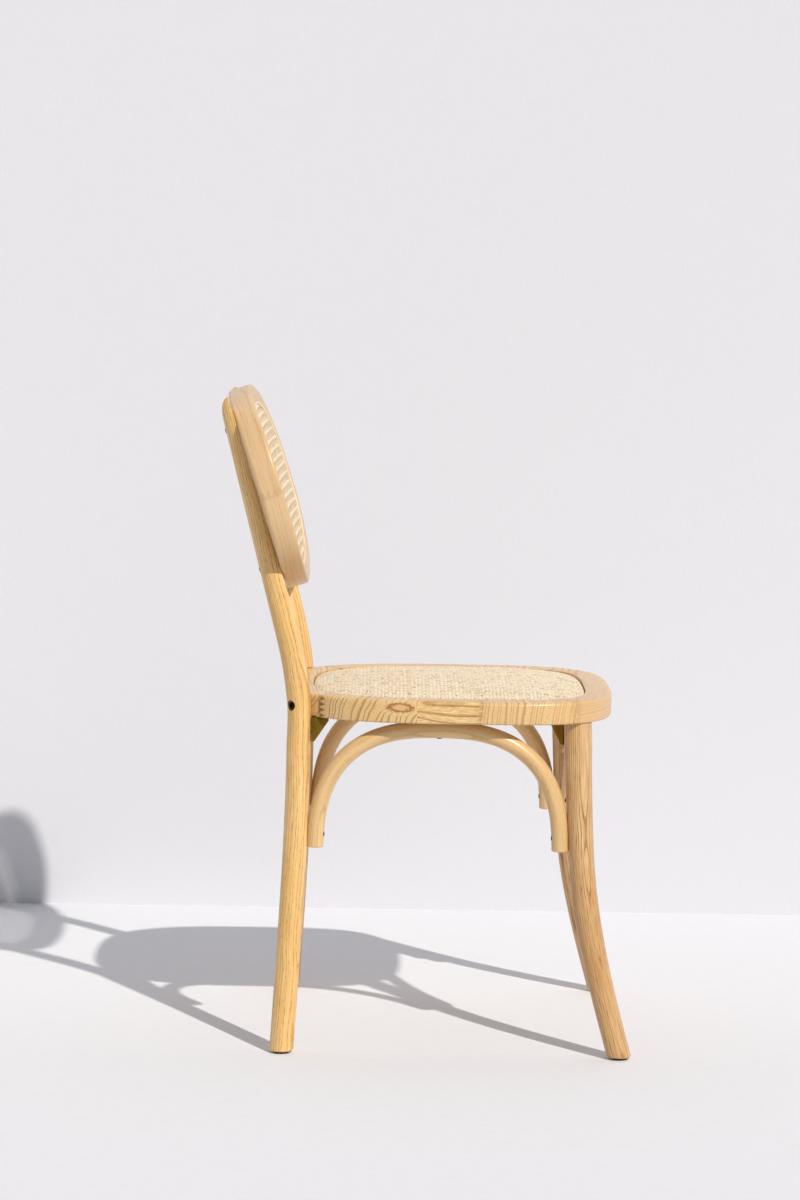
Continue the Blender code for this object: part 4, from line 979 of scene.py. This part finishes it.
def bracket(row, side, radius, away):
    """Folded angle under the seat beside a leg, with its two screws."""
    node = f"bracket_{row}_{WORD_OF[side]}"
    top = leg_point(LEG_LINES[row], SEAT_UNDERSIDE - GAP, side)
    down = -leg_direction(LEG_LINES[row], SEAT_UNDERSIDE, side)
    away = away.normalized()
    wide = away.cross(UP).normalized()
    if wide.x * side > 0:
        wide = -wide
    corner = top + away * (radius + GAP) - wide * BRACKET_WIDTH / 2
    sheet, reach, drop = BRACKET_SHEET, BRACKET_REACH, BRACKET_DROP

    def folded(name, points, start, end, finish=None):
        outline = [corner + away * a + down * d for a, d in points]
        return prism(name, outline, wide * start, wide * end, finish)
    web = ((0, 0), (reach, 0), (reach, 2 * sheet), (2 * sheet, drop), (0, drop))
    piece = folded(node + "_zinc", web, 0, BRACKET_WIDTH, yellow_zinc)
    hollow = ((sheet, sheet), (reach + OVERRUN, sheet), (reach + OVERRUN, drop + OVERRUN),
              (sheet, drop + OVERRUN))
    carve(piece, folded("hollow_" + node, hollow, sheet, BRACKET_WIDTH + OVERRUN))
    middle = wide * (BRACKET_WIDTH + sheet) / 2
    under = corner + middle + away * (reach * SCREW_REACH_SHARE + sheet / 2) + down * sheet
    screw(node + "_screw_up", under, UP, SCREW_BITE + sheet, (piece, seat_ring))
    beside = corner + middle + away * sheet + down * drop * SCREW_DROP_SHARE
    screw(node + "_screw_leg", beside, -away, SCREW_BITE + sheet, (piece, legs[row, side]))
    edges = piece.modifiers.new("pressed_edges", "BEVEL")
    edges.width, edges.segments, edges.limit_method = PRESSED_EDGE, 2, "ANGLE"
    take_place(bake(piece), node)


inward = -SEAT.normal(front_contact)
for _, side in SIDES:
    bracket("rear", side, REAR_LEG_RADIUS, Vector((0, -1, 0)))
    bracket("front", side, FRONT_TOP_RADIUS, Vector((inward.x * side, inward.y, 0)))
print("brackets fold over", round(BRACKET_REACH * 1000), "by", round(BRACKET_DROP * 1000), "mm")

# %% [markdown]
# Small nylon glides keep the feet off the floor. They are pinned up into each foot. Moulded nylon is
# dark, matt and very slightly orange peeled, and its raised spots are scuffed paler.

# %% Nylon glides
GLIDE_RADIUS, GLIDE_HEIGHT, GLIDE_CHAMFER, GLIDE_EASE_SHARE = 0.0095, 0.003, 0.0008, 0.3
GLIDE_PIN_RADIUS, GLIDE_PIN_LENGTH, GLIDE_SIDES = 0.0015, 0.010, 32
NYLON_SCUFF, NYLON_RELIEF = 1 / 700, 0.0001

moulded_nylon = speckled("moulded_nylon", ("#3a332c", "#6f675c"), NYLON_SCUFF, NYLON_RELIEF,
                         share=(0.55, 0.75, 0.0, 0.5), gloss=(0.0, 1.0, 0.5, 0.75), IOR=1.53)
pin_top, ease = GLIDE_HEIGHT + GLIDE_PIN_LENGTH, GLIDE_CHAMFER * GLIDE_EASE_SHARE
glide = ((0, GLIDE_RADIUS - GLIDE_CHAMFER), (ease, GLIDE_RADIUS - ease), (GLIDE_CHAMFER, GLIDE_RADIUS),
         (GLIDE_HEIGHT, GLIDE_RADIUS), (GLIDE_HEIGHT, GLIDE_PIN_RADIUS), (pin_top, GLIDE_PIN_RADIUS))
pin_hole = ((0, GLIDE_PIN_RADIUS + GAP), (pin_top + GAP, GLIDE_PIN_RADIUS + GAP))
for row, lines in LEG_LINES.items():
    for word, side in SIDES:
        node = f"glide_{row}_{word}"
        foot = leg_point(lines, 0, side)
        piece = turned(node + "_nylon", foot, UP, glide, GLIDE_SIDES, moulded_nylon)
        take_place(piece, node)
        carve(legs[row, side], turned("bore_" + node, foot, UP, pin_hole, GLIDE_SIDES))
print("glides", round(GLIDE_HEIGHT * 1000), "mm thick")

# %% [markdown]
# Now every cut is known, so the wood can be baked and its grain laid. Each bar gets its own pith,
# as every bar comes from another plank, and the fibres of a bent bar follow its bend.

# %% Finish the legs and the arches
LEG_PITHS = {("rear", -1): (0.031, 0.012, 0.10), ("rear", 1): (0.026, -0.021, 1.3),
             ("front", -1): (0.012, 0.034, 2.6), ("front", 1): (-0.029, 0.018, 3.9)}
ARCH_PITHS = ((0.018, 0.030, 0.4), (-0.024, 0.027, 1.7), (0.033, -0.012, 2.9), (-0.014, -0.034, 4.3))
PATH_STEPS = 200
for (row, side), leg in legs.items():
    top = post_height if row == "rear" else SEAT_UNDERSIDE + TENON_LENGTH
    path = [leg_point(LEG_LINES[row], h, side) for h in np.linspace(0, top, PATH_STEPS)]
    lay_grain(bake(leg), along_path(path, np.array((1, 0, 0))), LEG_PITHS[row, side])
    take_place(leg, f"{row}_leg_{WORD_OF[side]}")
for (word, (arch, path, across, *_)), pith in zip(arches.items(), ARCH_PITHS):
    lay_grain(bake(arch), along_path(path, np.array(across)), pith)
    take_place(arch, "arch_" + word)
print("legs and arches baked")


# %% Part the rings at their joints
def islands(bm):
    """The loose parts of a mesh as lists of faces, in the same order each run."""
    seen = set()
    for first in bm.faces:
        if first in seen:
            continue
        seen.add(first)
        group = [first]
        for face in group:
            for other in (f for edge in face.edges for f in edge.link_faces if f not in seen):
                seen.add(other)
                group.append(other)
        yield group


def part(ring, name_of, finish):
    """The boards of a sawn ring, each as its own piece named after its node."""
    bm = bmesh.new()
    bm.from_mesh(bake(ring).data)
    boards = {}
    for group in islands(bm):
        verts = list(dict.fromkeys(v for face in group for v in face.verts))
        number = {v: i for i, v in enumerate(verts)}
        points = np.array([tuple(v.co) for v in verts]) - SHIFT
        faces = [[number[v] for v in face.verts] for face in group]
        node = name_of((points.min(0) + points.max(0)) / 2)
        boards[node] = make_piece(node + "_ash", points, faces, finish)
    bm.free()
    bpy.data.objects.remove(ring)
    return boards


def seat_board_name(middle):
    word = "right" if middle[0] < 0 else "left"
    if abs(middle[0]) < SEAT_RAIL_WIDTH:
        return "seat_rail_rear" if middle[1] > 0 else "seat_rail_front"
    front_joint = SEAT_FRONT_REACH * SEAT_JOINT_SHARES[1]
    return ("seat_rail_" if middle[1] > front_joint else "seat_corner_") + word


seat_boards = part(seat_ring, seat_board_name, seat_ash)
print("seat boards", sorted(seat_boards))

# %% [markdown]
# The boards of the seat were sawn from planks laid this way and that, so one shows long lines, the
# next end grain in upright stripes, and the right hand one has a knot and a plain glue line. Each
# board's fibres run straight, and the fingers of the rear board show brown end grain. A board's
# numbers are its fibres' angle in degrees, where its pith lies across and up, and a shift along.

# %% Grain of the seat boards
GLUE_LINE_Y = 0.0630
SEAT_GRAIN = {"seat_rail_rear": (4, 0.020, -0.055, 0.2), "seat_rail_left": (70, 0.120, -0.060, 4.2),
              "seat_rail_front": (-3, -0.200, -0.300, 1.4),
              "seat_corner_right": (6, -0.300, -0.020, 2.2),
              "seat_corner_left": (-8, -0.310, -0.015, 3.1)}
REAR_HALF, FRONT_HALF = (-14, -0.150, -0.070, 5.3), (94, 0.150, -0.020, 6.1)
FINGER_SHADES, FINGER_SHADE_ELSEWHERE = {"seat_rail_rear": 0.95, "seat_rail_front": 0.2}, 0.12
FINGER_SHADE_REACH = FINGER_LENGTH * 0.55


def straight_board(degrees, pith_across, pith_height, along_shift):
    """Grain of a flat board whose fibres lie at an angle from the sideways direction."""
    turn = math.radians(degrees)
    fibre = np.array((math.cos(turn), math.sin(turn)))
    square = np.array((-math.sin(turn), math.cos(turn)))

    def run(spots, middles):
        flat, height = spots[:, :2], spots[:, 2] - SEAT_UNDERSIDE
        return np.stack([flat @ square - pith_across, height - pith_height,
                         flat @ fibre + along_shift], 1)
    return run


def glued_pair(spots, middles):
    rear, front = straight_board(*REAR_HALF), straight_board(*FRONT_HALF)
    behind = (middles[:, 1] > GLUE_LINE_Y)[:, None]
    return np.where(behind, rear(spots, middles), front(spots, middles))


def finger_shade(node):
    """Brown end grain in the fingers of a board, strongest in the rear one."""
    def share_of(spots):
        shaded = np.zeros(len(spots), bool)
        for spot, along in seat_joints:
            reach = spots[:, :2] - np.array(spot)
            near = np.abs(reach @ np.array(along)) < FINGER_SHADE_REACH
            shaded |= near & (np.linalg.norm(reach, axis=1) < 2 * SEAT_RAIL_WIDTH)
        return FINGER_SHADES.get(node, FINGER_SHADE_ELSEWHERE) * shaded
    return share_of


KNOT_SPOT, KNOT_SIZE = (-0.2125, 0.0858, 0.4482), (0.0150, 0.0056, 0.030)
knot_home = straight_board(*REAR_HALF)(np.array([KNOT_SPOT]), None)[0]
knotty_ash = grained_wood("lacquered_ash_knotty_board", "#f6da9f", "#ad7530", "#8a5622", "#e8bd74",
                          0.0078, contrast=1.2, cloud=0.45, knot=(knot_home, KNOT_SIZE))
corner_ash = grained_wood("lacquered_ash_seat_corners", "#eccd97", "#c08a48", "#8c5c2c", "#e0b677",
                          0.0056, contrast=1.0, wander=0.3)
front_ash = grained_wood("lacquered_ash_seat_front", "#e8c592", "#bb864e", "#94653a", "#dab07a",
                         0.0026, contrast=0.7, wander=0.35)
SEAT_FINISHES = {"seat_rail_right": knotty_ash, "seat_corner_right": corner_ash,
                 "seat_corner_left": corner_ash, "seat_rail_front": front_ash}
for node, board in seat_boards.items():
    board.data.materials[0] = SEAT_FINISHES.get(node, seat_ash)
    lay_grain(board, straight_board(*SEAT_GRAIN[node]) if node in SEAT_GRAIN else glued_pair)
    lay_shade(board, finger_shade(node))
    take_place(board, node)
print("knot at", [round(v * 1000, 1) for v in knot_home], "mm in its own plank")

# %% Grain of the back ring
back_boards = part(back_ring, lambda m: "back_rail_" + ("upper" if m[2] > back_height else "lower"),
                   back_ash)
middle_line = [back_point(*p, BACK_THICKNESS / 2) for p in BACK.loop(PATH_STEPS, BACK_RIM_WIDTH / 2)]
back_run = along_path(middle_line + middle_line[:1], BACK_NORMAL)
BACK_PITHS = {"back_rail_upper": (0.040, 0.015, 0.0), "back_rail_lower": (0.033, -0.028, 5.1)}
BACK_FINGER_SHADE = 0.16


def back_finger_shade(spots):
    up = (spots - BACK_MIDDLE) @ UP_SLOPE - BACK_LENGTH / 2 * BACK_JOINT_SHARE
    return BACK_FINGER_SHADE * (np.abs(up) < FINGER_SHADE_REACH)


for node, board in back_boards.items():
    lay_grain(board, back_run, BACK_PITHS[node])
    if node == "back_rail_lower":
        lay_shade(board, back_finger_shade)
    take_place(board, node)
print("back boards", sorted(back_boards))

# %% [markdown]
# Cane is the skin of the rattan palm, split into thin strips that are flat behind and gently arched
# in front. It is cream coloured, silky, and no two strips have quite the same tone. The weave is
# modelled strip by strip, because its over and under and its small gaps are what the eye reads, and
# because light really falls through the holes of the back.

# %% Rattan cane
CANE_STREAK, CANE_STREAK_LENGTH, CANE_RELIEF = 0.0007, 1 / 30, 0.0002
PATCH_WIDTH, PATCH_LENGTH = 0.05, 1 / 14
FLECK_WIDTH, FLECK_LENGTH = 0.0018, 0.010


def rattan(name, pale, tan, streak, edge, roughness, flecks):
    """Split cane; flecks says how strong its brown flecks are, from 0 to 1."""
    material, tree = start_finish(name, IOR=1.5, Coat_Weight=0.12, Coat_Roughness=0.3)
    grain = add(tree, "Attribute", {}, 1, attribute_name="grain")
    tint = add(tree, "Attribute", {}, 2, attribute_name="tint")
    split = add(tree, "Attribute", {}, 2, attribute_name="split_edge_and_gap_shade")
    fibres = streaks(tree, grain, CANE_STREAK, CANE_STREAK_LENGTH, 3.0)
    fine = add(tree, "MapRange", (fibres, 0.5, 0.8, 0.0, 0.5))
    patch = streaks(tree, grain, PATCH_WIDTH, PATCH_LENGTH, 2.0)
    patch = add(tree, "MapRange", (patch, 0.5, 0.72, 0.0, 0.5))
    # Brown flecks lie along the strips. They are drawn two crossings long, because shorter ones
    # vanish where the seat is seen from a low angle.
    speck = streaks(tree, grain, FLECK_WIDTH, FLECK_LENGTH, 1.0)
    speck = add(tree, "MapRange", (speck, 0.59, 0.68, 0.0, flecks))
    # The split edges and undersides of a strip are drawn brown. That is partly the raw cane's own
    # colour and partly painted shade in the gaps between the strips.
    raw_edge_and_gap_shade = add(tree, "MapRange", (split, 0.45, 1.0, 0.0, 0.45))
    colour = tinted(tree, pale, [(tint, tan), (patch, tan), (fine, streak), (speck, edge), (raw_edge_and_gap_shade, edge)])
    gloss = add(tree, "MapRange", (fibres, 0.3, 0.7, roughness, roughness + 0.15))
    bump = add(tree, "Bump", {"Height": fibres, "Distance": CANE_RELIEF, "Strength": 0.3})
    return finished(material, Base_Color=colour, Roughness=gloss, Normal=bump)


# %% Strips woven into one mesh
# Sections of a strip, as shares of its width and thickness
RIDGED_STRIP = ((-0.5, -0.5), (0.5, -0.5), (0.5, 0.05), (0.0, 0.5), (-0.5, 0.05))
FLAT_STRIP = ((-0.5, -0.4), (0.5, -0.4), (0.27, 0.5), (-0.27, 0.5))
SCAN_REACH, SCAN_STEPS, FEWEST_STEPS = 0.4, 3200, 8
TONE_SPREAD = (1.2, 3.0)


def weave(name, strands, section, thickness, place, finish, seed):
    """One mesh of strips. A strand is (start, direction, stations, lifts, width)."""
    chance = np.random.default_rng(seed)
    points, faces, grains, tints, edges = [], [], [], [], []
    sides = [abs(wide_share) * 2 for wide_share, _ in section]
    count = 0
    for start, direction, stations, lifts, width in strands:
        square = np.array((-direction[1], direction[0]))
        rings = np.empty((len(stations), len(section), 3))
        grain = np.empty_like(rings)
        for k, (wide_share, thick_share) in enumerate(section):
            flat = start + np.outer(stations, direction) + square * width * wide_share
            rings[:, k] = place(flat[:, 0], flat[:, 1], lifts + thickness * thick_share)
            grain[:, k, 0], grain[:, k, 1] = width * wide_share, thickness * thick_share
            grain[:, k, 2] = stations
        spots, quads = skin(rings)
        points.append(spots)
        faces += [[i + count for i in quad] for quad in quads]
        count += len(spots)
        # Each strip comes from another cane, so its pattern and its tone are drawn by chance
        grains.append(grain.reshape(-1, 3) + chance.uniform(0, 1, 3))
        tints.append(np.full(len(spots), chance.beta(*TONE_SPREAD)))
        # How near each point lies to a strip's edge or underside, where the finish paints the brown of
        # raw cane together with painted shade for the gaps
        edges.append(np.tile(sides, len(stations)))
    piece = make_piece(name, np.concatenate(points), faces, finish)
    for word, values in (("grain", grains), ("tint", tints), ("split_edge_and_gap_shade", edges)):
        store(piece, word, np.concatenate(values), "POINT")
    print(name, len(strands), "strips,", len(piece.data.polygons), "faces")
    return piece


def edge_reach(outline, inset):
    """A function giving how far the inset edge lies from the middle, in any direction."""
    loop = np.array([tuple(p) for p in outline.loop(OUTLINE_STATIONS * 3, inset)])
    angles = np.arctan2(loop[:, 1], loop[:, 0]) % math.tau
    order = np.argsort(angles)
    reach = np.linalg.norm(loop, axis=1)[order]
    return lambda x, y: np.interp(np.arctan2(y, x) % math.tau, angles[order], reach, period=math.tau)


def run_inside(start, direction, reach, beyond=0.0):
    """Where a straight strand enters and leaves an outline, or None if it misses."""
    along = np.linspace(-SCAN_REACH, SCAN_REACH, SCAN_STEPS + 1)
    flat = start + np.outer(along, direction)
    inside = along[np.hypot(flat[:, 0], flat[:, 1]) < reach(flat[:, 0], flat[:, 1]) + beyond]
    return (inside[0], inside[-1]) if len(inside) > FEWEST_STEPS else None


# %% [markdown]
# The back is woven in the open six way pattern, with holes half an inch apart. Upright pairs and
# level pairs cross first, one strand over and one under. Two sets of slanting strands then cut the
# corners of the squares, each going over one kind of pair and under the other, which locks the
# weave and turns the square holes into octagons.

# %% Open cane of the back
MESH, PAIR_SPACING, PAIR_WIDTH, SLANT_WIDTH, STRAND_THICKNESS = 0.0127, 0.0025, 0.0022, 0.0024, 0.00045
CANE_THICKNESS = 0.0012
PAIR_WEAVE, SLANT_WEAVE = 0.00024, 0.00060
PAIR_STATIONS = np.array((-0.5, -0.28, -0.16, -0.0945, 0.0, 0.0945, 0.16, 0.28)) * MESH
SLANT_STEPS, SLANT_PITCH = 6, MESH * math.sqrt(2)
SLANT_STATIONS = np.linspace(0, 1, SLANT_STEPS, endpoint=False) * SLANT_PITCH
WEAVE_AXES = ((0, np.array((0.0, 1.0))), (1, np.array((1.0, 0.0))))


def repeated(stations, pitch, span):
    """Stations of one mesh repeated over a span, with both ends added."""
    cells = np.arange(math.floor(span[0] / pitch) - 1, math.ceil(span[1] / pitch) + 2) * pitch
    all_stations = np.sort((cells[:, None] + stations[None]).ravel())
    inside = all_stations[(all_stations > span[0] + CANE_THICKNESS / 2)
                          & (all_stations < span[1] - CANE_THICKNESS / 2)]
    return np.concatenate([[span[0]], inside, [span[1]]])


def pair_lift(stations, sign):
    """Over one strand of a crossing pair and under the other, flat in between."""
    near = (stations + MESH / 2) % MESH - MESH / 2
    return sign * PAIR_WEAVE * np.sin(np.pi * np.clip(near / PAIR_SPACING, -1, 1))


cane_reach = edge_reach(BACK, GROOVE_INSET + GROOVE_WIDTH)
half_count = int(BACK.half_width / MESH) + 1
strands = []
for axis, direction in WEAVE_AXES:
    for line in range(-half_count, half_count + 1):
        for number, sign in ((-0.5, 1), (0.5, -1)):
            start = np.zeros(2)
            start[axis] = line * MESH + number * PAIR_SPACING
            span = run_inside(start, direction, cane_reach)
            if span:
                stations = repeated(PAIR_STATIONS, MESH, span)
                lifts = pair_lift(stations, sign if axis == 0 else -sign)
                strands.append((start, direction, stations, lifts, PAIR_WIDTH))
for slope in (1, -1):
    direction = np.array((1.0, slope)) / math.sqrt(2)
    for line in range(-2 * half_count, 2 * half_count + 1):
        start = np.array((0.0, (line + 0.5) * MESH))
        span = run_inside(start, direction, cane_reach)
        if span:
            stations = repeated(SLANT_STATIONS, SLANT_PITCH, span)
            lifts = slope * SLANT_WEAVE * np.cos(math.tau * stations / SLANT_PITCH)
            strands.append((start, direction, stations, lifts, SLANT_WIDTH))
back_cane_finish = rattan("rattan_cane_back", "#fff3d8", "#ecd2a4", "#cfa96f", "#a27a48", 0.42, 0.25)
middle_depth = BACK_LAND_DEPTH - GAP - CANE_THICKNESS / 2
back_cane = weave("back_cane_rattan", strands, RIDGED_STRIP, STRAND_THICKNESS,
                  lambda a, b, lift: back_spots(a, b, middle_depth - lift), back_cane_finish, seed=11)
take_place(back_cane, "back_cane")

# %% Reed spline
SPLINE_PROUD, SPLINE_STEPS = 0.0008, 6
half, bottom = GROOVE_WIDTH / 2 - GAP, GROOVE_DEPTH - GAP
groove_middle = GROOVE_INSET + GROOVE_WIDTH / 2
turns = [math.pi * i / SPLINE_STEPS for i in range(SPLINE_STEPS + 1)]
crest = [(groove_middle - half * math.cos(t), -SPLINE_PROUD * math.sin(t)) for t in turns]
section = [(groove_middle - half, bottom), *crest, (groove_middle + half, bottom)]
reed = rattan("split_reed_spline", "#f0dcb4", "#dcbd88", "#c29a62", "#c29a62", 0.4, 0.3)
spline = swept("back_spline_reed", BACK, BACK_STATIONS, section, back_point, reed)
lay_grain(spline, back_run)
take_place(spline, "back_spline")
print("spline", len(spline.data.polygons), "faces")

# %% [markdown]
# The seat panel is a thin crowned board with a close plain weave of cane drawn over it and turned
# down round its edge. A flat weave is laid out first, and one function drapes any point of it over
# the crown and down the side, as wet cane is drawn over a board before it dries tight.

# %% Seat panel board
BOARD_THICKNESS, SEAT_CROWN, CROWN_POWER = 0.010, 0.0145, 2.4
PANEL_EDGE_DROP, PANEL_EDGE_ROUND, PANEL_SLACK = 0.003, 0.002, 0.0009
SHOULDER_SHARE = 0.035
BOARD_THIN_SHARE, BOARD_FLAT_SHARE = 0.55, 0.80
BOARD_UNDER_SHARES = (0.04, 0.2, 0.35, BOARD_THIN_SHARE, BOARD_FLAT_SHARE, 1.0)
BOARD_TOP_SHARES = (1.0, 0.99, 0.98, 0.965, 0.93, 0.88, 0.8, 0.7, 0.55, 0.4, 0.25, 0.1)
PANEL_STATIONS = 180
PLYWOOD_GRAIN = (88, 0.3, -0.6, 0.0)
LEDGE = SEAT_HEIGHT - SEAT_REBATE_DEPTH + GAP
panel_inset = SEAT_RIM_WIDTH + PANEL_SLACK


def panel_top(share):
    """Height of the board's top at a share of the way from its middle to its edge."""
    shoulder = np.clip((share - 1 + SHOULDER_SHARE) / SHOULDER_SHARE, 0, 1) ** 2
    return (SEAT_HEIGHT - PANEL_EDGE_DROP + SEAT_CROWN * (1 - np.minimum(share, 1) ** CROWN_POWER)
            - PANEL_EDGE_ROUND * shoulder)


def board_under(share):
    thin = panel_top(min(share, BOARD_THIN_SHARE)) - BOARD_THICKNESS
    slope = min(max((share - BOARD_THIN_SHARE) / (BOARD_FLAT_SHARE - BOARD_THIN_SHARE), 0), 1)
    return thin + (LEDGE - thin) * slope


# The veneer has wide, faint rings
plywood = grained_wood("birch_plywood", "#cfae7c", "#b8935f", "#8d6a40", "#c29d6a", 0.012,
                       contrast=0.7)
board_edge = SEAT.loop(PANEL_STATIONS, panel_inset + CANE_THICKNESS + GAP)
levels = [(s, board_under(s)) for s in BOARD_UNDER_SHARES]
levels += [(s, panel_top(s)) for s in BOARD_TOP_SHARES]
rings = [[(*(p * share), height) for p in board_edge] for share, height in levels]
board = loft("seat_board_plywood", rings, plywood)
lay_grain(board, straight_board(*PLYWOOD_GRAIN))
take_place(board, "seat_board")
print("seat board rises to", round(panel_top(BOARD_TOP_SHARES[-1]) * 1000, 1), "mm")

# %% Close weave of the seat
WEAVE_PITCH, STRIP_WIDTH, STRIP_THICKNESS, WEAVE_LIFT = 0.0048, 0.0039, 0.00045, 0.00030
CROSSING_STATIONS = np.array((0, 0.5)) * WEAVE_PITCH
SKIRT = 0.006
NEARBY = 0.0002
seat_reach = edge_reach(SEAT, panel_inset + CANE_THICKNESS / 2)


def draped(x, y):
    """Place on the middle of the cane sheet for a spot of the flat weave."""
    out = np.maximum(np.hypot(x, y), NEARBY / 2)
    edge = seat_reach(x, y)
    kept = np.minimum(out, edge) / out
    top = panel_top(np.minimum(out / edge, 1)) + GAP + CANE_THICKNESS / 2
    return np.stack([x * kept, y * kept, top - np.maximum(out - edge, 0)], -1)


def on_seat(x, y, lift):
    here = draped(x, y)
    up = np.cross(draped(x + NEARBY, y) - here, draped(x, y + NEARBY) - here)
    up /= np.linalg.norm(up, axis=-1, keepdims=True)
    return here + up * lift[:, None]


def bent_stations(span, rim):
    """Stations at each crossing and between, and where the strand bends down over the rim."""
    stations = repeated(CROSSING_STATIONS, WEAVE_PITCH, span)
    for bend in rim or ():
        clear = np.abs(stations - bend) > CANE_THICKNESS / 2
        stations = np.sort(np.append(stations[clear], bend))
    return stations


strands = []
line_count = int(SEAT_REAR_REACH / WEAVE_PITCH)
for axis, direction in WEAVE_AXES:
    for line in range(-line_count, line_count + 1):
        start = np.zeros(2)
        start[axis] = (line + 0.5) * WEAVE_PITCH
        span = run_inside(start, direction, seat_reach, SKIRT)
        if span:
            stations = bent_stations(span, run_inside(start, direction, seat_reach))
            sign = (1 if line % 2 else -1) * (1 if axis == 0 else -1)
            lifts = sign * WEAVE_LIFT * np.sin(np.pi * stations / WEAVE_PITCH)
            strands.append((start, direction, stations, lifts, STRIP_WIDTH))
seat_cane_finish = rattan("rattan_cane_seat", "#fff5dc", "#eed5aa", "#c9a671", "#875415", 0.45, 0.82)
seat_cane = weave("seat_cane_rattan", strands, FLAT_STRIP, STRIP_THICKNESS, on_seat,
                  seat_cane_finish, seed=23)
take_place(seat_cane, "seat_cane")

# %% [markdown]
# The cutters have done their work, and so they go. Then comes the room: a pale painted floor and a
# wall close behind, as the chair was photographed against. Both are seen from their front only, so
# that a camera behind the wall or under the floor still sees the chair.

# %% Clear the cutters away
cutters = [o for o in bpy.context.scene.objects
           if o.type == "MESH" and o.hide_render and o.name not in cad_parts]
print("cutters cleared away", len(cutters))
for cutter in cutters:
    bpy.data.objects.remove(cutter)

# %% Floor and wall
WALL_X, WALL_TOP, FAR = 0.84, 6.0, 14.0
FLOOR_GRAIN, FLOOR_RELIEF, WALL_GRAIN, WALL_RELIEF = 0.02, 0.0003, 0.004, 0.0006


def painted(name, tints, grain_size, depth):
    """Matt paint that a camera behind it sees through."""
    material = speckled(name, tints, grain_size, depth, detail=4.0, Roughness=0.85,
                        Specular_IOR_Level=0.2)
    tree = material.node_tree
    paint = tree.nodes["Principled BSDF"].outputs[0]
    behind = add(tree, "NewGeometry", {}, "Backfacing")
    clear = add(tree, "BsdfTransparent", {})
    both = add(tree, "MixShader", (behind, paint, clear))
    tree.links.new(both, tree.nodes["Material Output"].inputs["Surface"])
    return material


def flat_sheet(name, corners, finish):
    mesh = bpy.data.meshes.new(name)
    mesh.from_pydata(corners, [], [(0, 1, 2, 3)])
    mesh.materials.append(finish)
    sheet = bpy.data.objects.new(name, mesh)
    bpy.context.scene.collection.objects.link(sheet)
    sheet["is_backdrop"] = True


flat_sheet("floor", [(-FAR, -FAR, 0), (FAR, -FAR, 0), (FAR, FAR, 0), (-FAR, FAR, 0)],
           painted("painted_floor", ("#ebecf0", "#e6e7ec"), FLOOR_GRAIN, FLOOR_RELIEF))
flat_sheet("wall", [(WALL_X, FAR, 0), (WALL_X, -FAR, 0), (WALL_X, -FAR, WALL_TOP),
                    (WALL_X, FAR, WALL_TOP)],
           painted("painted_wall", ("#e1e2e7", "#dbdce2"), WALL_GRAIN, WALL_RELIEF))
print("wall", round((WALL_X - cad_high.x) * 1000), "mm beside the chair")

# %% [markdown]
# The light is a far lamp high on the camera's right, which gives the legs their round shading and
# drops the shadow back and to the left, and an even pale sky that fills the rest. Their levels
# together light a surface that faces them by about one, so a colour looks as it was written.

# %% Light
LAMP_DIRECTION = Vector((0.9988, 0.6215, -1.0))
LAMP_STRENGTH, LAMP_ANGLE, SKY_STRENGTH = 2.95, math.radians(1.0), 0.29

lamp = bpy.data.objects.new("lamp", bpy.data.lights.new("lamp", "SUN"))
lamp.data.energy, lamp.data.angle = LAMP_STRENGTH, LAMP_ANGLE
lamp.data.color = linear("#fffaf2")[:3]
lamp.rotation_mode = "QUATERNION"
lamp.rotation_quaternion = LAMP_DIRECTION.to_track_quat("-Z", "Y")
bpy.context.scene.collection.objects.link(lamp)
world = bpy.data.worlds.new("sky")
world.use_nodes = True
sky = world.node_tree.nodes["Background"]
sky.inputs["Color"].default_value = linear("#edf1fa")
sky.inputs["Strength"].default_value = SKY_STRENGTH
bpy.context.scene.world = world
bpy.context.scene.view_settings.view_transform = "Standard"
print("lamp", LAMP_STRENGTH, "and sky", SKY_STRENGTH)

# %% [markdown]
# The camera stands five metres off and a metre above the floor, with a long lens, so the chair is
# seen almost square from its right side, and the seat's top shows as a narrow band.

# %% Camera
CAMERA_PLACE = Vector((-5.0699, 0.0832, 1.0619))
CAMERA_YAW, CAMERA_PITCH, CAMERA_ROLL = 0.0094, 0.0976, 0.0176
FOCAL_PIXELS, FRAME_HEIGHT, SENSOR = 3843.79, 1200, 36.0

ahead = Vector((math.cos(CAMERA_YAW) * math.cos(CAMERA_PITCH),
                -math.sin(CAMERA_YAW) * math.cos(CAMERA_PITCH), -math.sin(CAMERA_PITCH)))
level_right = ahead.cross(UP).normalized()
level_up = level_right.cross(ahead)
turn_cos, turn_sin = math.cos(CAMERA_ROLL), math.sin(CAMERA_ROLL)
right = turn_cos * level_right + turn_sin * level_up
top = turn_cos * level_up - turn_sin * level_right
camera = bpy.data.objects.new("camera", bpy.data.cameras.new("camera"))
camera.data.sensor_width = SENSOR
camera.data.lens = FOCAL_PIXELS * SENSOR / FRAME_HEIGHT
turn = Matrix((right, top, -ahead)).transposed()
camera.matrix_world = Matrix.Translation(CAMERA_PLACE) @ turn.to_4x4()
bpy.context.scene.collection.objects.link(camera)
bpy.context.scene.camera = camera
print("lens", round(camera.data.lens, 2), "mm")

# %% Compare the sizes and finish
low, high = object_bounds()
{"cad": [list(cad_low), list(cad_high)], "visual": [list(low), list(high)]}
print("visual model", [round(v * 1000, 1) for v in high - low], "mm")
